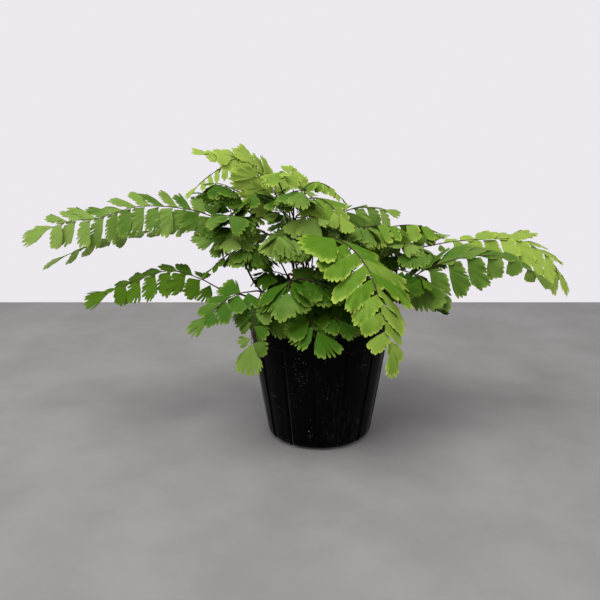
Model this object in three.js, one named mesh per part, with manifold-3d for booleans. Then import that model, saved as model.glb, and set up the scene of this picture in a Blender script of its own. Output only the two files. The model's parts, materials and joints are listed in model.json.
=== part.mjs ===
// Maidenhair fern in a nursery pot.
// Millimetres, +Z up. The origin is the centre of the pot's foot, on the surface it stands on.
//
// The plant is a creeping rootstock with wiry stalks. Each stalk forks into arms, and each arm carries
// one pinna: a feathered blade with a midrib and leaflets set alternately left and right of it.
// Every pinna is one thin closed blade. Its outline runs out to the tip of each leaflet in turn and
// back in between them, so its corners hold the leaflets' places, lengths and slopes.

import * as THREE from 'three';
import { mergeVertices } from 'three/addons/utils/BufferGeometryUtils.js';
import Module from 'manifold-3d';

const wasm = await Module();
wasm.setup();

// ---------------------------------------------------------------- driving dimensions

const GAP = 0.3; // clearance between separate pieces that touch

const POT_HEIGHT = 76;
const RIM_RADIUS = 45; // the common 9 cm nursery pot
const WALL = 1;
const FLOOR = 1.2;
const FOOT_RADIUS = 31.5; // flat underside, inside the chamfered edge
const CHAMFER_HEIGHT = 3;
const WALL_BASE_RADIUS = 34.6; // top of the chamfer, where the fluted wall starts
const COLLAR_HEIGHT = 9; // straight band without flutes under the rim
const COLLAR_STEP = 0.4; // how far the collar stands out from the fluted wall
const BEAD_HEIGHT = 1.6; // thickened lip
const BEAD_STEP = 0.4;
const FLUTES = 14;
const FLUTE_TURN = 7; // degrees from +X to the first groove
const FLUTE_DEPTH = 1;
const FOOT_FLUTE_DEPTH = 0.5; // the grooves are shallower at the foot
const FLUTE_HALF_ANGLE = 2.2; // degrees from a groove's bottom to its edge
const FLUTE_RUNOUT = 1.5; // over which the grooves fade out below the collar
const PANEL_STEPS = 3; // facets across each panel between two grooves
const DRAIN_HOLES = 7;
const DRAIN_RADIUS = 3.5;
const DRAIN_CIRCLE = 20;
const DRAIN_SIDES = 12;

const HEADSPACE = 8; // left above the mix for watering
const MIX_CROWN = 1; // rise of the mix from its edge to its middle
const MIX_SHOULDER = 11; // below the rim, where the mix stops widening with the wall
const MIX_SIDES = 42;

const ROOTSTOCK = { x: -8, y: 2, z: 67.5 };
const ROOTSTOCK_HALF = { x: 20, y: 7.5, z: 5.5 };
const ROOTSTOCK_SIDES = 20;

const STALK_RADIUS = 0.7;
const ARM_RADIUS = 0.5;
const ARM_LEAD = 2; // an arm runs straight into its pinna over this length
const TUBE_STEP = 7; // length of tube between two rings
const TUBE_SIDES = 6;
const STALK_RISE = 5; // a stalk leaves the rootstock straight up

const MIDRIB_HALF = 0.45; // half thickness of a blade at its midrib, at the base
const MIDRIB_TIP_HALF = 0.2;
const FIRST_LEAFLET = 2.5; // bare midrib before the first leaflet
const NOTCH_SHARE = 0.3; // how far the outline stays out between two leaflets
const NOTCH_LEAST = 1.4;
const SLANT_BASE = 80; // degrees between a leaflet and the midrib, at the base
const SLANT_TIP = 58;
const FULLEST = 0.35; // share of the midrib where the leaflets are longest
const BASE_SHARE = 0.75; // of the longest leaflet, at the base
const TIP_SHARE = 0.5; // of the longest leaflet, at the tip
const TAPER_POWER = 1.6;

const CROZIER_RADIUS = 0.5;
const CURL_RADIUS = 2.2;
const CURL_TURNS = 1.4;
const CURL_TIGHTENING = 0.45; // share of the curl's radius lost by its inner end
const CURL_SHIFT = 0.6; // sideways, from the curl's start to its inner end
const CURL_RISE = 4; // from the stalk's top to the curl's centre
const CURL_STEPS = 14;
const CURL_TUBE_STEP = 1.4;

// ---------------------------------------------------------------- the plant's layout

// Each frond has a stalk, as the points that it passes through above its root on the rootstock, and
// pinnae. A pinna's arm leaves the stalk at its point number "from" (the last one if none is given),
// passes its "via" points and ends at the first point of the midrib.
// reach: the longest leaflet. leaflets: how many there are along the midrib. tip: the end leaflet.
// droop: degrees that the left and the right leaflets hang below level, looking along the midrib.

const FRONDS = {
  left: {
    root: [-14, 3],
    stalk: [[-20, 4, 88], [-32, 5, 106], [-45, 7, 122], [-54, 9, 134]],
    pinnae: {
      long: {
        midrib: [
          [-59, 6, 138], [-80, 4, 146], [-112, -3, 149],
          [-138, -6, 142], [-156, -9, 140], [-168, -12, 135],
        ],
        reach: 18, leaflets: 26, tip: 16, droop: [50, -12],
      },
      lower: {
        midrib: [[-59, 14, 133], [-90, 18, 133], [-124, 15, 130], [-150, 8, 123], [-166, 4, 116]],
        reach: 15, leaflets: 20, tip: 14, droop: [35, 15],
      },
      back: {
        midrib: [[-57, 14, 141], [-60, 20, 149], [-68, 24, 155], [-79, 25, 156]],
        reach: 13, leaflets: 10, tip: 9, droop: [20, 5],
      },
      back_right: {
        midrib: [[-51, 15, 139], [-47, 23, 146], [-38, 31, 152], [-28, 36, 152]],
        reach: 12, leaflets: 8, tip: 10, droop: [15, 20],
      },
      right: {
        midrib: [[-49, 6, 138], [-43, 1, 142], [-36, -3, 143]],
        reach: 12, leaflets: 4, tip: 11, droop: [-15, 30],
      },
      front: {
        midrib: [[-53, 4, 135], [-53, -3, 135], [-54, -9, 131]],
        reach: 14, leaflets: 4, tip: 14, droop: [20, 20],
      },
      single: {
        midrib: [[-60, 3, 130], [-66, 0, 129]],
        reach: 9, leaflets: 1, tip: 15, droop: [30, 20],
      },
    },
  },
  left_thin: {
    root: [-20, 0],
    stalk: [[-30, -4, 88], [-41, -7, 101], [-47, -5, 112], [-51, -2, 119]],
    pinnae: {
      thin: {
        midrib: [[-54, -2, 121], [-61, -3, 117], [-69, -5, 110]],
        reach: 6, leaflets: 6, tip: 8, droop: [10, 10],
      },
      right: {
        midrib: [[-48, -3, 122], [-41, -3, 121], [-34, -1, 117]],
        reach: 9, leaflets: 4, tip: 11, droop: [20, 30],
      },
    },
  },
  top: {
    root: [-9, 3],
    stalk: [[-11, 3, 92], [-15, 4, 110], [-19, 5, 128]],
    pinnae: {
      arching: {
        via: [[-21, 6, 139]],
        midrib: [
          [-25, 8, 149], [-30, 9, 159], [-36, 8, 168],
          [-46, 4, 176], [-58, 0, 180], [-70, -3, 181],
        ],
        reach: 17, leaflets: 16, tip: 9, droop: [58, -30],
      },
      drooping: {
        via: [[-20, 16, 145], [-28, 26, 163]],
        midrib: [[-40, 26, 173], [-54, 24, 176], [-68, 21, 170], [-80, 16, 160]],
        reach: 10, leaflets: 14, tip: 10, droop: [35, 0],
      },
    },
  },
  top_back: {
    root: [-15, 6],
    stalk: [[-16, 7, 92], [-17, 9, 112], [-17, 11, 132], [-17, 14, 148]],
    pinnae: {
      young: {
        midrib: [[-17, 19, 156], [-18, 24, 163], [-20, 30, 169]],
        reach: 11, leaflets: 5, tip: 9, droop: [0, 0],
      },
      right_light: {
        midrib: [[-13, 17, 156], [-5, 18, 163], [5, 17, 161], [13, 14, 154]],
        reach: 8, leaflets: 10, tip: 9, droop: [10, 10],
      },
      right_front: {
        midrib: [[-12, 11, 151], [-4, 5, 154], [5, -3, 151], [12, -9, 143]],
        reach: 14, leaflets: 8, tip: 13, droop: [0, 35],
      },
      left_inner: {
        from: 2,
        midrib: [[-20, 14, 139], [-25, 18, 144], [-31, 22, 145]],
        reach: 10, leaflets: 3, tip: 11, droop: [30, 10],
      },
      right_inner: {
        from: 2,
        midrib: [[-13, 14, 143], [-5, 18, 146], [3, 21, 144]],
        reach: 10, leaflets: 5, tip: 10, droop: [10, 30],
      },
    },
  },
  front_right: {
    root: [-5, -1],
    stalk: [[-8, -6, 95], [-9, -10, 112], [-5, -13, 126]],
    pinnae: {
      long: {
        midrib: [
          [0, -16, 131], [10, -24, 131], [22, -38, 122],
          [29, -54, 108], [33, -66, 90], [36, -72, 76],
        ],
        reach: 23, leaflets: 17, tip: 13, droop: [12, 15],
      },
      left: {
        midrib: [[-10, -14, 129], [-16, -17, 131], [-23, -19, 129]],
        reach: 14, leaflets: 3, tip: 15, droop: [35, -10],
      },
      front: {
        midrib: [[-4, -19, 127], [-4, -25, 126]],
        reach: 12, leaflets: 2, tip: 14, droop: [20, 20],
      },
    },
  },
  back_right: {
    root: [2, 5],
    stalk: [[3, 7, 92], [3, 10, 112], [5, 12, 132]],
    pinnae: {
      top: {
        midrib: [[10, 13, 141], [20, 15, 146], [34, 15, 147], [44, 14, 145]],
        reach: 14, leaflets: 8, tip: 9, droop: [0, 60],
      },
      front: {
        midrib: [[7, 8, 135], [10, 3, 138], [13, -3, 137]],
        reach: 12, leaflets: 3, tip: 12, droop: [20, 20],
      },
      back: {
        midrib: [[9, 16, 133], [24, 26, 134], [40, 34, 127], [52, 39, 117]],
        reach: 12, leaflets: 9, tip: 12, droop: [15, 15],
      },
    },
  },
  right: {
    root: [7, 3],
    stalk: [[20, 8, 92], [38, 12, 106], [56, 16, 116], [65, 18, 120]],
    pinnae: {
      long: {
        midrib: [
          [70, 19, 121], [88, 21, 124], [110, 22, 125.5],
          [134, 22, 125], [152, 20, 115], [162, 17, 101],
        ],
        reach: 15, leaflets: 18, tip: 13, droop: [0, 35],
      },
      front: {
        midrib: [[63, 14, 122], [57, 9, 125], [52, 3, 125]],
        reach: 12, leaflets: 3, tip: 12, droop: [20, 20],
      },
      back: {
        midrib: [[68, 24, 123], [75, 31, 127], [84, 36, 127]],
        reach: 9, leaflets: 7, tip: 8, droop: [10, 10],
      },
    },
  },
  right_low: {
    root: [4, -1],
    stalk: [[16, -3, 86], [32, -6, 95], [46, -8, 98]],
    pinnae: {
      long: {
        midrib: [
          [51, -9, 100], [64, -14, 111], [78, -19, 117.5], [92, -23, 121],
          [106, -26, 121], [118, -29, 117], [127, -31, 110],
        ],
        reach: 22, leaflets: 14, tip: 11, droop: [-8, 58],
      },
      back: {
        midrib: [[49, -3, 99], [58, 6, 96], [68, 14, 88], [78, 20, 81]],
        reach: 11, leaflets: 5, tip: 13, droop: [20, 20],
      },
    },
  },
  left_low: {
    root: [-23, 2],
    stalk: [[-34, 2, 84], [-50, 1, 92], [-62, 0, 95]],
    pinnae: {
      long: {
        midrib: [[-66, 0, 97], [-77, 0, 103], [-96, 0, 108], [-116, -3, 103], [-135, -6, 95]],
        reach: 17, leaflets: 14, tip: 17, droop: [50, -12],
      },
    },
  },
  front_left: {
    root: [-17, -2],
    stalk: [[-25, -11, 88], [-31, -21, 97], [-36, -27, 100]],
    pinnae: {
      long: {
        midrib: [[-40, -30, 101], [-49, -38, 101], [-58, -46, 97], [-66, -52, 90]],
        reach: 15, leaflets: 7, tip: 13, droop: [30, 0],
      },
      hanging: {
        midrib: [[-37, -32, 97], [-39, -42, 92], [-40, -50, 81], [-41, -53, 71]],
        reach: 12, leaflets: 4, tip: 14, droop: [10, 10],
      },
    },
  },
  front: {
    root: [-10, -3],
    stalk: [[-12, -13, 86], [-15, -23, 100], [-17, -28, 106]],
    pinnae: {
      centre: {
        midrib: [[-18, -32, 108], [-19, -39, 108], [-20, -45, 103]],
        reach: 18, leaflets: 3, tip: 18, droop: [20, 20],
      },
      right: {
        midrib: [[-12, -29, 108], [-5, -34, 108], [2, -38, 104]],
        reach: 13, leaflets: 3, tip: 14, droop: [10, 30],
      },
      low: {
        from: 0,
        via: [[-11, -23, 90]],
        midrib: [[-10, -36, 90], [-7, -45, 87], [-2, -52, 81]],
        reach: 15, leaflets: 3, tip: 17, droop: [20, 20],
      },
      low_right: {
        from: 0,
        via: [[-7, -21, 90]],
        midrib: [[0, -32, 91], [6, -40, 89], [12, -47, 85]],
        reach: 12, leaflets: 2, tip: 12, droop: [15, 25],
      },
    },
  },
  back_left: {
    root: [-12, 7],
    stalk: [[-15, 14, 94], [-19, 23, 112], [-26, 33, 124]],
    pinnae: {
      left: {
        midrib: [[-31, 36, 126], [-45, 46, 130], [-58, 54, 127], [-68, 60, 117]],
        reach: 16, leaflets: 12, tip: 14, droop: [15, 15],
      },
      right: {
        midrib: [[-25, 39, 130], [-27, 54, 138], [-27, 70, 136], [-26, 82, 127]],
        reach: 15, leaflets: 12, tip: 14, droop: [15, 15],
      },
    },
  },
  back: {
    root: [-2, 7],
    stalk: [[4, 17, 92], [12, 28, 108], [18, 37, 119]],
    pinnae: {
      right: {
        midrib: [[23, 42, 119], [37, 54, 122], [50, 65, 118], [60, 73, 107]],
        reach: 16, leaflets: 12, tip: 14, droop: [15, 15],
      },
      left: {
        midrib: [[17, 43, 124], [15, 57, 132], [12, 72, 130], [9, 84, 120]],
        reach: 15, leaflets: 12, tip: 14, droop: [15, 15],
      },
      low: {
        from: 0,
        midrib: [[4, 25, 97], [1, 39, 100], [-2, 54, 95], [-5, 64, 86]],
        reach: 14, leaflets: 8, tip: 13, droop: [20, 20],
      },
    },
  },
  inner: {
    root: [8, 1],
    stalk: [[12, 0, 82], [15, -1, 90]],
    pinnae: {
      front: {
        midrib: [[17, -5, 93], [23, -13, 97], [30, -20, 95]],
        reach: 12, leaflets: 5, tip: 12, droop: [10, 20],
      },
      back: {
        midrib: [[19, 0, 92], [29, 3, 95], [39, 5, 92]],
        reach: 12, leaflets: 5, tip: 12, droop: [15, 15],
      },
    },
  },
};

const CROZIER = { root: [-20, 2.5], stalk: [[-21, 2, 88], [-21, 1, 100]] };

// ---------------------------------------------------------------- small helpers

const radians = THREE.MathUtils.degToRad;
const vector = ([x, y, z]) => new THREE.Vector3(x, y, z);

/** A manifold-3d solid from a closed geometry. */
function toSolid(geometry) {
  const bare = geometry.clone();
  bare.deleteAttribute('normal');
  bare.deleteAttribute('uv');
  const merged = mergeVertices(bare);
  const mesh = new wasm.Mesh({
    numProp: 3,
    vertProperties: new Float32Array(merged.attributes.position.array),
    triVerts: new Uint32Array(merged.index.array),
  });
  return new wasm.Manifold(mesh);
}

/** A geometry from a manifold-3d solid. */
function toGeometry(solid) {
  const mesh = solid.getMesh();
  return meshGeometry(Array.from(mesh.vertProperties), Array.from(mesh.triVerts));
}

/** An indexed geometry from flat lists of coordinates and corner numbers. */
function meshGeometry(positions, indices) {
  const geometry = new THREE.BufferGeometry();
  geometry.setAttribute('position', new THREE.Float32BufferAttribute(positions, 3));
  geometry.setIndex(indices);
  geometry.computeVertexNormals();
  return geometry;
}

/** A closed geometry through equal rings of points, with flat ends. */
function loft(rings) {
  const count = rings[0].length;
  const positions = rings.flat().flatMap((point) => point.toArray());
  const indices = [];
  for (let r = 0; r < rings.length - 1; r++) {
    for (let i = 0; i < count; i++) {
      const next = (i + 1) % count;
      const a = r * count + i;
      const b = r * count + next;
      indices.push(a, b, b + count);
      indices.push(a, b + count, a + count);
    }
  }
  const top = (rings.length - 1) * count;
  for (let i = 1; i < count - 1; i++) {
    indices.push(0, i + 1, i);
    indices.push(top, top + i, top + i + 1);
  }
  return meshGeometry(positions, indices);
}

// ---------------------------------------------------------------- pot

/** Angles around the pot, with the share of the flute's depth at each. */
function fluteAngles() {
  const pitch = 360 / FLUTES;
  const panel = pitch - 2 * FLUTE_HALF_ANGLE;
  const marks = [];
  for (let flute = 0; flute < FLUTES; flute++) {
    const bottom = FLUTE_TURN + flute * pitch;
    marks.push({ angle: bottom, depth: 1 });
    for (let step = 0; step <= PANEL_STEPS; step++) {
      marks.push({ angle: bottom + FLUTE_HALF_ANGLE + (panel * step) / PANEL_STEPS, depth: 0 });
    }
  }
  return marks;
}

/** One ring of the pot's skin. */
function potRing(radius, z, fluteDepth) {
  return fluteAngles().map(({ angle, depth }) => {
    const r = radius - depth * fluteDepth;
    return new THREE.Vector3(r * Math.cos(radians(angle)), r * Math.sin(radians(angle)), z);
  });
}

/** The fluted wall's outer radius at a height. */
function wallRadius(z) {
  const collarBottom = POT_HEIGHT - COLLAR_HEIGHT;
  const topRadius = RIM_RADIUS - COLLAR_STEP;
  const share = (z - CHAMFER_HEIGHT) / (collarBottom - CHAMFER_HEIGHT);
  return WALL_BASE_RADIUS + (topRadius - WALL_BASE_RADIUS) * share;
}

/** Pot: fluted wall, straight collar, beaded lip and a floor with drain holes. */
function potGeometry() {
  const collarBottom = POT_HEIGHT - COLLAR_HEIGHT;
  const flutesEnd = collarBottom - FLUTE_RUNOUT;
  const beadBottom = POT_HEIGHT - BEAD_HEIGHT;
  const outside = [
    potRing(FOOT_RADIUS, 0, FOOT_FLUTE_DEPTH),
    potRing(WALL_BASE_RADIUS, CHAMFER_HEIGHT, FLUTE_DEPTH),
    potRing(wallRadius(flutesEnd), flutesEnd, FLUTE_DEPTH),
    potRing(RIM_RADIUS, collarBottom, 0),
    potRing(RIM_RADIUS, beadBottom, 0),
    potRing(RIM_RADIUS + BEAD_STEP, beadBottom + BEAD_STEP, 0),
    potRing(RIM_RADIUS + BEAD_STEP, POT_HEIGHT, 0),
  ];
  const inside = [
    potRing(RIM_RADIUS - WALL, POT_HEIGHT, 0),
    potRing(RIM_RADIUS - WALL, collarBottom, 0),
    potRing(wallRadius(flutesEnd) - WALL, flutesEnd, FLUTE_DEPTH),
    potRing(WALL_BASE_RADIUS - WALL, CHAMFER_HEIGHT, FLUTE_DEPTH),
    potRing(FOOT_RADIUS, FLOOR, FOOT_FLUTE_DEPTH),
  ];
  let solid = toSolid(loft([...outside, ...inside]));
  for (let hole = 0; hole < DRAIN_HOLES; hole++) {
    const drill = new THREE.CylinderGeometry(DRAIN_RADIUS, DRAIN_RADIUS, 4 * FLOOR, DRAIN_SIDES);
    const turn = (hole * 2 * Math.PI) / DRAIN_HOLES;
    drill.rotateX(Math.PI / 2);
    drill.translate(DRAIN_CIRCLE * Math.cos(turn), DRAIN_CIRCLE * Math.sin(turn), FLOOR / 2);
    solid = solid.subtract(toSolid(drill));
  }
  return toGeometry(solid);
}

// ---------------------------------------------------------------- potting mix and rootstock

/** An ellipsoid around the rootstock's centre, grown by a margin. */
function rootstockGeometry(margin) {
  const ball = new THREE.SphereGeometry(1, ROOTSTOCK_SIDES, ROOTSTOCK_SIDES / 2);
  ball.scale(ROOTSTOCK_HALF.x + margin, ROOTSTOCK_HALF.y + margin, ROOTSTOCK_HALF.z + margin);
  ball.translate(ROOTSTOCK.x, ROOTSTOCK.y, ROOTSTOCK.z);
  return ball;
}

/** Potting mix: fills the pot to the headspace, with a hollow where the rootstock lies. */
function mixGeometry() {
  const clearance = WALL + FLUTE_DEPTH + GAP;
  const top = POT_HEIGHT - HEADSPACE;
  const bottom = FLOOR + GAP;
  const shoulder = POT_HEIGHT - MIX_SHOULDER;
  const profile = [
    [0, bottom],
    [FOOT_RADIUS - FLUTE_DEPTH - GAP, bottom],
    [WALL_BASE_RADIUS - clearance, CHAMFER_HEIGHT + GAP],
    [wallRadius(shoulder) - clearance, shoulder],
    [wallRadius(shoulder) - clearance, top - MIX_CROWN],
    [RIM_RADIUS / 2, top - MIX_CROWN / 4],
    [0, top],
  ];
  const lathe = new THREE.LatheGeometry(profile.map(([r, z]) => new THREE.Vector2(r, z)), MIX_SIDES);
  lathe.rotateX(Math.PI / 2);
  return toGeometry(toSolid(lathe).subtract(toSolid(rootstockGeometry(GAP))));
}

/** Height of the rootstock's upper surface over a point. */
function rootstockTop(x, y) {
  const u = (x - ROOTSTOCK.x) / ROOTSTOCK_HALF.x;
  const v = (y - ROOTSTOCK.y) / ROOTSTOCK_HALF.y;
  return ROOTSTOCK.z + ROOTSTOCK_HALF.z * Math.sqrt(Math.max(0, 1 - u * u - v * v));
}

/** Foot of a stalk: just clear of the rootstock under the whole width of the stalk. */
function stalkFoot([x, y], radius) {
  const heights = [0, 1, 2, 3].map((quarter) => {
    const turn = (quarter * Math.PI) / 2;
    return rootstockTop(x + radius * Math.cos(turn), y + radius * Math.sin(turn));
  });
  return [x, y, Math.max(rootstockTop(x, y), ...heights) + GAP];
}

// ---------------------------------------------------------------- stalks

/** A round tube through points. */
function tubeSolid(points, radius, step = TUBE_STEP) {
  const curve = new THREE.CatmullRomCurve3(points, false, 'centripetal');
  const section = new THREE.Shape();
  for (let side = 0; side < TUBE_SIDES; side++) {
    const turn = (side * 2 * Math.PI) / TUBE_SIDES;
    const place = [radius * Math.cos(turn), radius * Math.sin(turn)];
    if (side === 0) section.moveTo(...place);
    else section.lineTo(...place);
  }
  const tube = new THREE.ExtrudeGeometry(section, {
    steps: Math.max(2, Math.round(curve.getLength() / step)),
    extrudePath: curve,
    bevelEnabled: false,
  });
  return toSolid(tube);
}

/** A frond's stalk from the rootstock to its fork, with an arm to each pinna. */
function stalkGeometry(frond) {
  const foot = stalkFoot(frond.root, STALK_RADIUS);
  const rise = [foot[0], foot[1], foot[2] + STALK_RISE];
  const points = [foot, rise, ...frond.stalk].map(vector);
  let solid = tubeSolid(points, STALK_RADIUS);
  for (const pinna of Object.values(frond.pinnae)) {
    const start = frond.stalk[pinna.from ?? frond.stalk.length - 1];
    const curve = midribCurve(pinna);
    const heading = curve.getTangentAt(0);
    const lead = curve.getPointAt(0).addScaledVector(heading, -GAP - ARM_LEAD);
    const end = curve.getPointAt(0).addScaledVector(heading, -GAP);
    const route = [vector(start), ...(pinna.via ?? []).map(vector), lead, end];
    solid = solid.add(tubeSolid(route, ARM_RADIUS));
  }
  return toGeometry(solid);
}

/** Crozier: a young frond on its own stalk, still curled like a watch spring. */
function crozierGeometry() {
  const points = [stalkFoot(CROZIER.root, CROZIER_RADIUS), ...CROZIER.stalk].map(vector);
  const top = points.at(-1);
  for (let step = 1; step <= CURL_STEPS; step++) {
    const share = step / CURL_STEPS;
    const turn = share * CURL_TURNS * 2 * Math.PI;
    const radius = CURL_RADIUS * (1 - CURL_TIGHTENING * share);
    const x = top.x + CURL_RADIUS - radius * Math.cos(turn);
    const z = top.z + CURL_RISE + radius * Math.sin(turn);
    points.push(new THREE.Vector3(x, top.y - CURL_SHIFT * share, z));
  }
  return toGeometry(tubeSolid(points, CROZIER_RADIUS, CURL_TUBE_STEP));
}

// ---------------------------------------------------------------- pinnae

/** The curve of a pinna's midrib. */
function midribCurve(pinna) {
  return new THREE.CatmullRomCurve3(pinna.midrib.map(vector), false, 'centripetal');
}

/** Length of a leaflet at a place along the midrib, as a share of the longest one. */
function leafletShare(t) {
  if (t < FULLEST) {
    return BASE_SHARE + (1 - BASE_SHARE) * Math.sin((Math.PI / 2) * (t / FULLEST));
  }
  return 1 - (1 - TIP_SHARE) * ((t - FULLEST) / (1 - FULLEST)) ** TAPER_POWER;
}

/** Axes at a place on the midrib: along it, to its right, and out of the blade's upper face. */
function bladeAxes(curve, t) {
  const heading = curve.getPointAt(1).sub(curve.getPointAt(0)).setZ(0).normalize();
  const level = new THREE.Vector3(heading.y, -heading.x, 0);
  const along = curve.getTangentAt(t);
  const right = level.addScaledVector(along, -level.dot(along)).normalize();
  const up = new THREE.Vector3().crossVectors(right, along);
  return { along, right, up };
}

/** One four-cornered ring of a blade: left edge, upper face, right edge, lower face. */
function bladeRing(curve, t, half, lengths, droop) {
  const { along, right, up } = bladeAxes(curve, t);
  const centre = curve.getPointAt(t);
  const slant = radians(THREE.MathUtils.lerp(SLANT_BASE, SLANT_TIP, t));
  const [left, rightEdge] = [-1, 1].map((side, i) => {
    const out = right.clone().multiplyScalar(side * Math.cos(radians(droop[i])));
    out.addScaledVector(up, -Math.sin(radians(droop[i])));
    const { length, isLeaflet } = lengths[i];
    const edge = centre.clone().addScaledVector(out, length * (isLeaflet ? Math.sin(slant) : 1));
    return isLeaflet ? edge.addScaledVector(along, length * Math.cos(slant)) : edge;
  });
  const bank = radians((droop[0] - droop[1]) / 2);
  const face = up.clone().multiplyScalar(Math.cos(bank)).addScaledVector(right, -Math.sin(bank));
  const upper = centre.clone().addScaledVector(face, half);
  const lower = centre.clone().addScaledVector(face, -half);
  return [left, upper, rightEdge, lower];
}

/** Pinna: a thin closed blade that runs out to each leaflet's tip in turn. */
function pinnaGeometry(pinna) {
  const curve = midribCurve(pinna);
  const first = FIRST_LEAFLET / curve.getLength();
  const edge = { length: MIDRIB_HALF, isLeaflet: false };
  const rings = [bladeRing(curve, 0, MIDRIB_HALF, [edge, edge], [0, 0])];
  for (let k = 0; k < pinna.leaflets; k++) {
    const t = first + ((1 - first) * (k + 0.5)) / (pinna.leaflets + 0.5);
    const leaflet = { length: pinna.reach * leafletShare(t), isLeaflet: true };
    const notch = { length: Math.max(NOTCH_LEAST, NOTCH_SHARE * leaflet.length), isLeaflet: false };
    const half = THREE.MathUtils.lerp(MIDRIB_HALF, MIDRIB_TIP_HALF, t);
    const pair = k % 2 === 0 ? [leaflet, notch] : [notch, leaflet];
    rings.push(bladeRing(curve, t, half, pair, pinna.droop));
  }
  const end = curve.getPointAt(1).addScaledVector(curve.getTangentAt(1), pinna.tip);
  return closeBlade(rings, end);
}

/** The closed blade through its rings, from a flat base to a point. */
function closeBlade(rings, end) {
  const positions = [...rings.flat(), end].flatMap((point) => point.toArray());
  const indices = [0, 2, 1, 0, 3, 2];
  for (let r = 0; r < rings.length - 1; r++) {
    for (let side = 0; side < 4; side++) {
      const next = (side + 1) % 4;
      const a = 4 * r + side;
      const b = 4 * r + next;
      // the diagonal starts from the midrib, so that a leaflet that leans forward keeps its shape
      if (side % 2 === 0) indices.push(a, b, a + 4, b, b + 4, a + 4);
      else indices.push(a, b, b + 4, a, b + 4, a + 4);
    }
  }
  const last = 4 * (rings.length - 1);
  const tip = 4 * rings.length;
  for (let side = 0; side < 4; side++) {
    indices.push(last + side, last + ((side + 1) % 4), tip);
  }
  return meshGeometry(positions, indices);
}

// ---------------------------------------------------------------- materials

const finish = (color, roughness) => new THREE.MeshStandardMaterial({ color, roughness, metalness: 0 });

const BLACK_PLASTIC = finish(0x17181a, 0.45);
const POTTING_MIX = finish(0x3b2a1d, 0.95);
const ROOTSTOCK_BROWN = finish(0x4a3020, 0.85);
const STALK_BLACK = finish(0x1c1412, 0.35);
const LEAF_GREEN = finish(0x6fa03c, 0.55);
const CROZIER_BROWN = finish(0x5a3a22, 0.7);

// ---------------------------------------------------------------- the plant in its pot

const fern = new THREE.Group();

/** Adds one named piece. */
function addPiece(name, geometry, material) {
  const mesh = new THREE.Mesh(geometry, material);
  mesh.name = name;
  fern.add(mesh);
}

addPiece('pot', potGeometry(), BLACK_PLASTIC);
addPiece('potting_mix', mixGeometry(), POTTING_MIX);
addPiece('rootstock', rootstockGeometry(0), ROOTSTOCK_BROWN);
addPiece('crozier', crozierGeometry(), CROZIER_BROWN);
for (const [frondName, frond] of Object.entries(FRONDS)) {
  addPiece(`${frondName}_stalk`, stalkGeometry(frond), STALK_BLACK);
  for (const [pinnaName, pinna] of Object.entries(frond.pinnae)) {
    addPiece(`${frondName}_pinna_${pinnaName}`, pinnaGeometry(pinna), LEAF_GREEN);
  }
}

export default fern;
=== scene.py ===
"""Looks of a potted maidenhair fern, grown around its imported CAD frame.

Lengths are metres and +Z is up. The pot's foot stands on the origin and the pot's front faces -Y.
Every leaf branch (pinna) is read from its CAD blade: the blade's rings give the midrib, and the
corners that stand out of it give each leaflet's seat, length and slope. Leaflets, midribs and
leaflet stalks are then grown there as closed meshes.
"""

import json
import logging
import math
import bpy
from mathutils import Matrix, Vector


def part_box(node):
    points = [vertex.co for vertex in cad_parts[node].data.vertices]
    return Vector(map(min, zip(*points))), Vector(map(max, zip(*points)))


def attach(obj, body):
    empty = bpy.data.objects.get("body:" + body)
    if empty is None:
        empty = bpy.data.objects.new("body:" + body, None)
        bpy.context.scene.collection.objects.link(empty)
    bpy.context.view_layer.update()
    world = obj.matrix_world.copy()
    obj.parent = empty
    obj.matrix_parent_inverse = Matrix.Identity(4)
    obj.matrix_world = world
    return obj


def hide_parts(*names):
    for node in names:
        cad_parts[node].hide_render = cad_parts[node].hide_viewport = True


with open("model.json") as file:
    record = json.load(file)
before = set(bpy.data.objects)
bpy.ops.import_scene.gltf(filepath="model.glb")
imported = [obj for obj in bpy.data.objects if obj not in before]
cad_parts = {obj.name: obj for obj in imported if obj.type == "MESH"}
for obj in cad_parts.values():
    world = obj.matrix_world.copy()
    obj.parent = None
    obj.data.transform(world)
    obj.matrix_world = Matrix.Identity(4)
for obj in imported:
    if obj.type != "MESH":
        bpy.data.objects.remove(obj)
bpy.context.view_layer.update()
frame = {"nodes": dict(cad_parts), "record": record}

import zlib
from collections.abc import Sequence
from dataclasses import dataclass, field
from enum import Enum

import bpy
import numpy as np
from bpy.types import Material, Node, NodeSocket, Object
from mathutils import Vector
from numpy.random import Generator

MM = 0.001
TINY = 1e-9
LOG = logging.getLogger("potted_fern")

Triple = tuple[float, float, float]
Colour = Triple


# ---------------- small helpers


def seeded(name: str) -> Generator:
    """A random generator that is always the same for a name."""
    return np.random.default_rng(zlib.crc32(name.encode()))


def unit(vectors: np.ndarray) -> np.ndarray:
    """The vectors at length one, along the last axis."""
    return vectors / np.maximum(np.linalg.norm(vectors, axis=-1, keepdims=True), TINY)


def smoothstep(low: float, high: float, values: np.ndarray) -> np.ndarray:
    """Values eased from 0 at low to 1 at high."""
    share = np.clip((values - low) / (high - low), 0.0, 1.0)
    return share * share * (3.0 - 2.0 * share)


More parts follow.
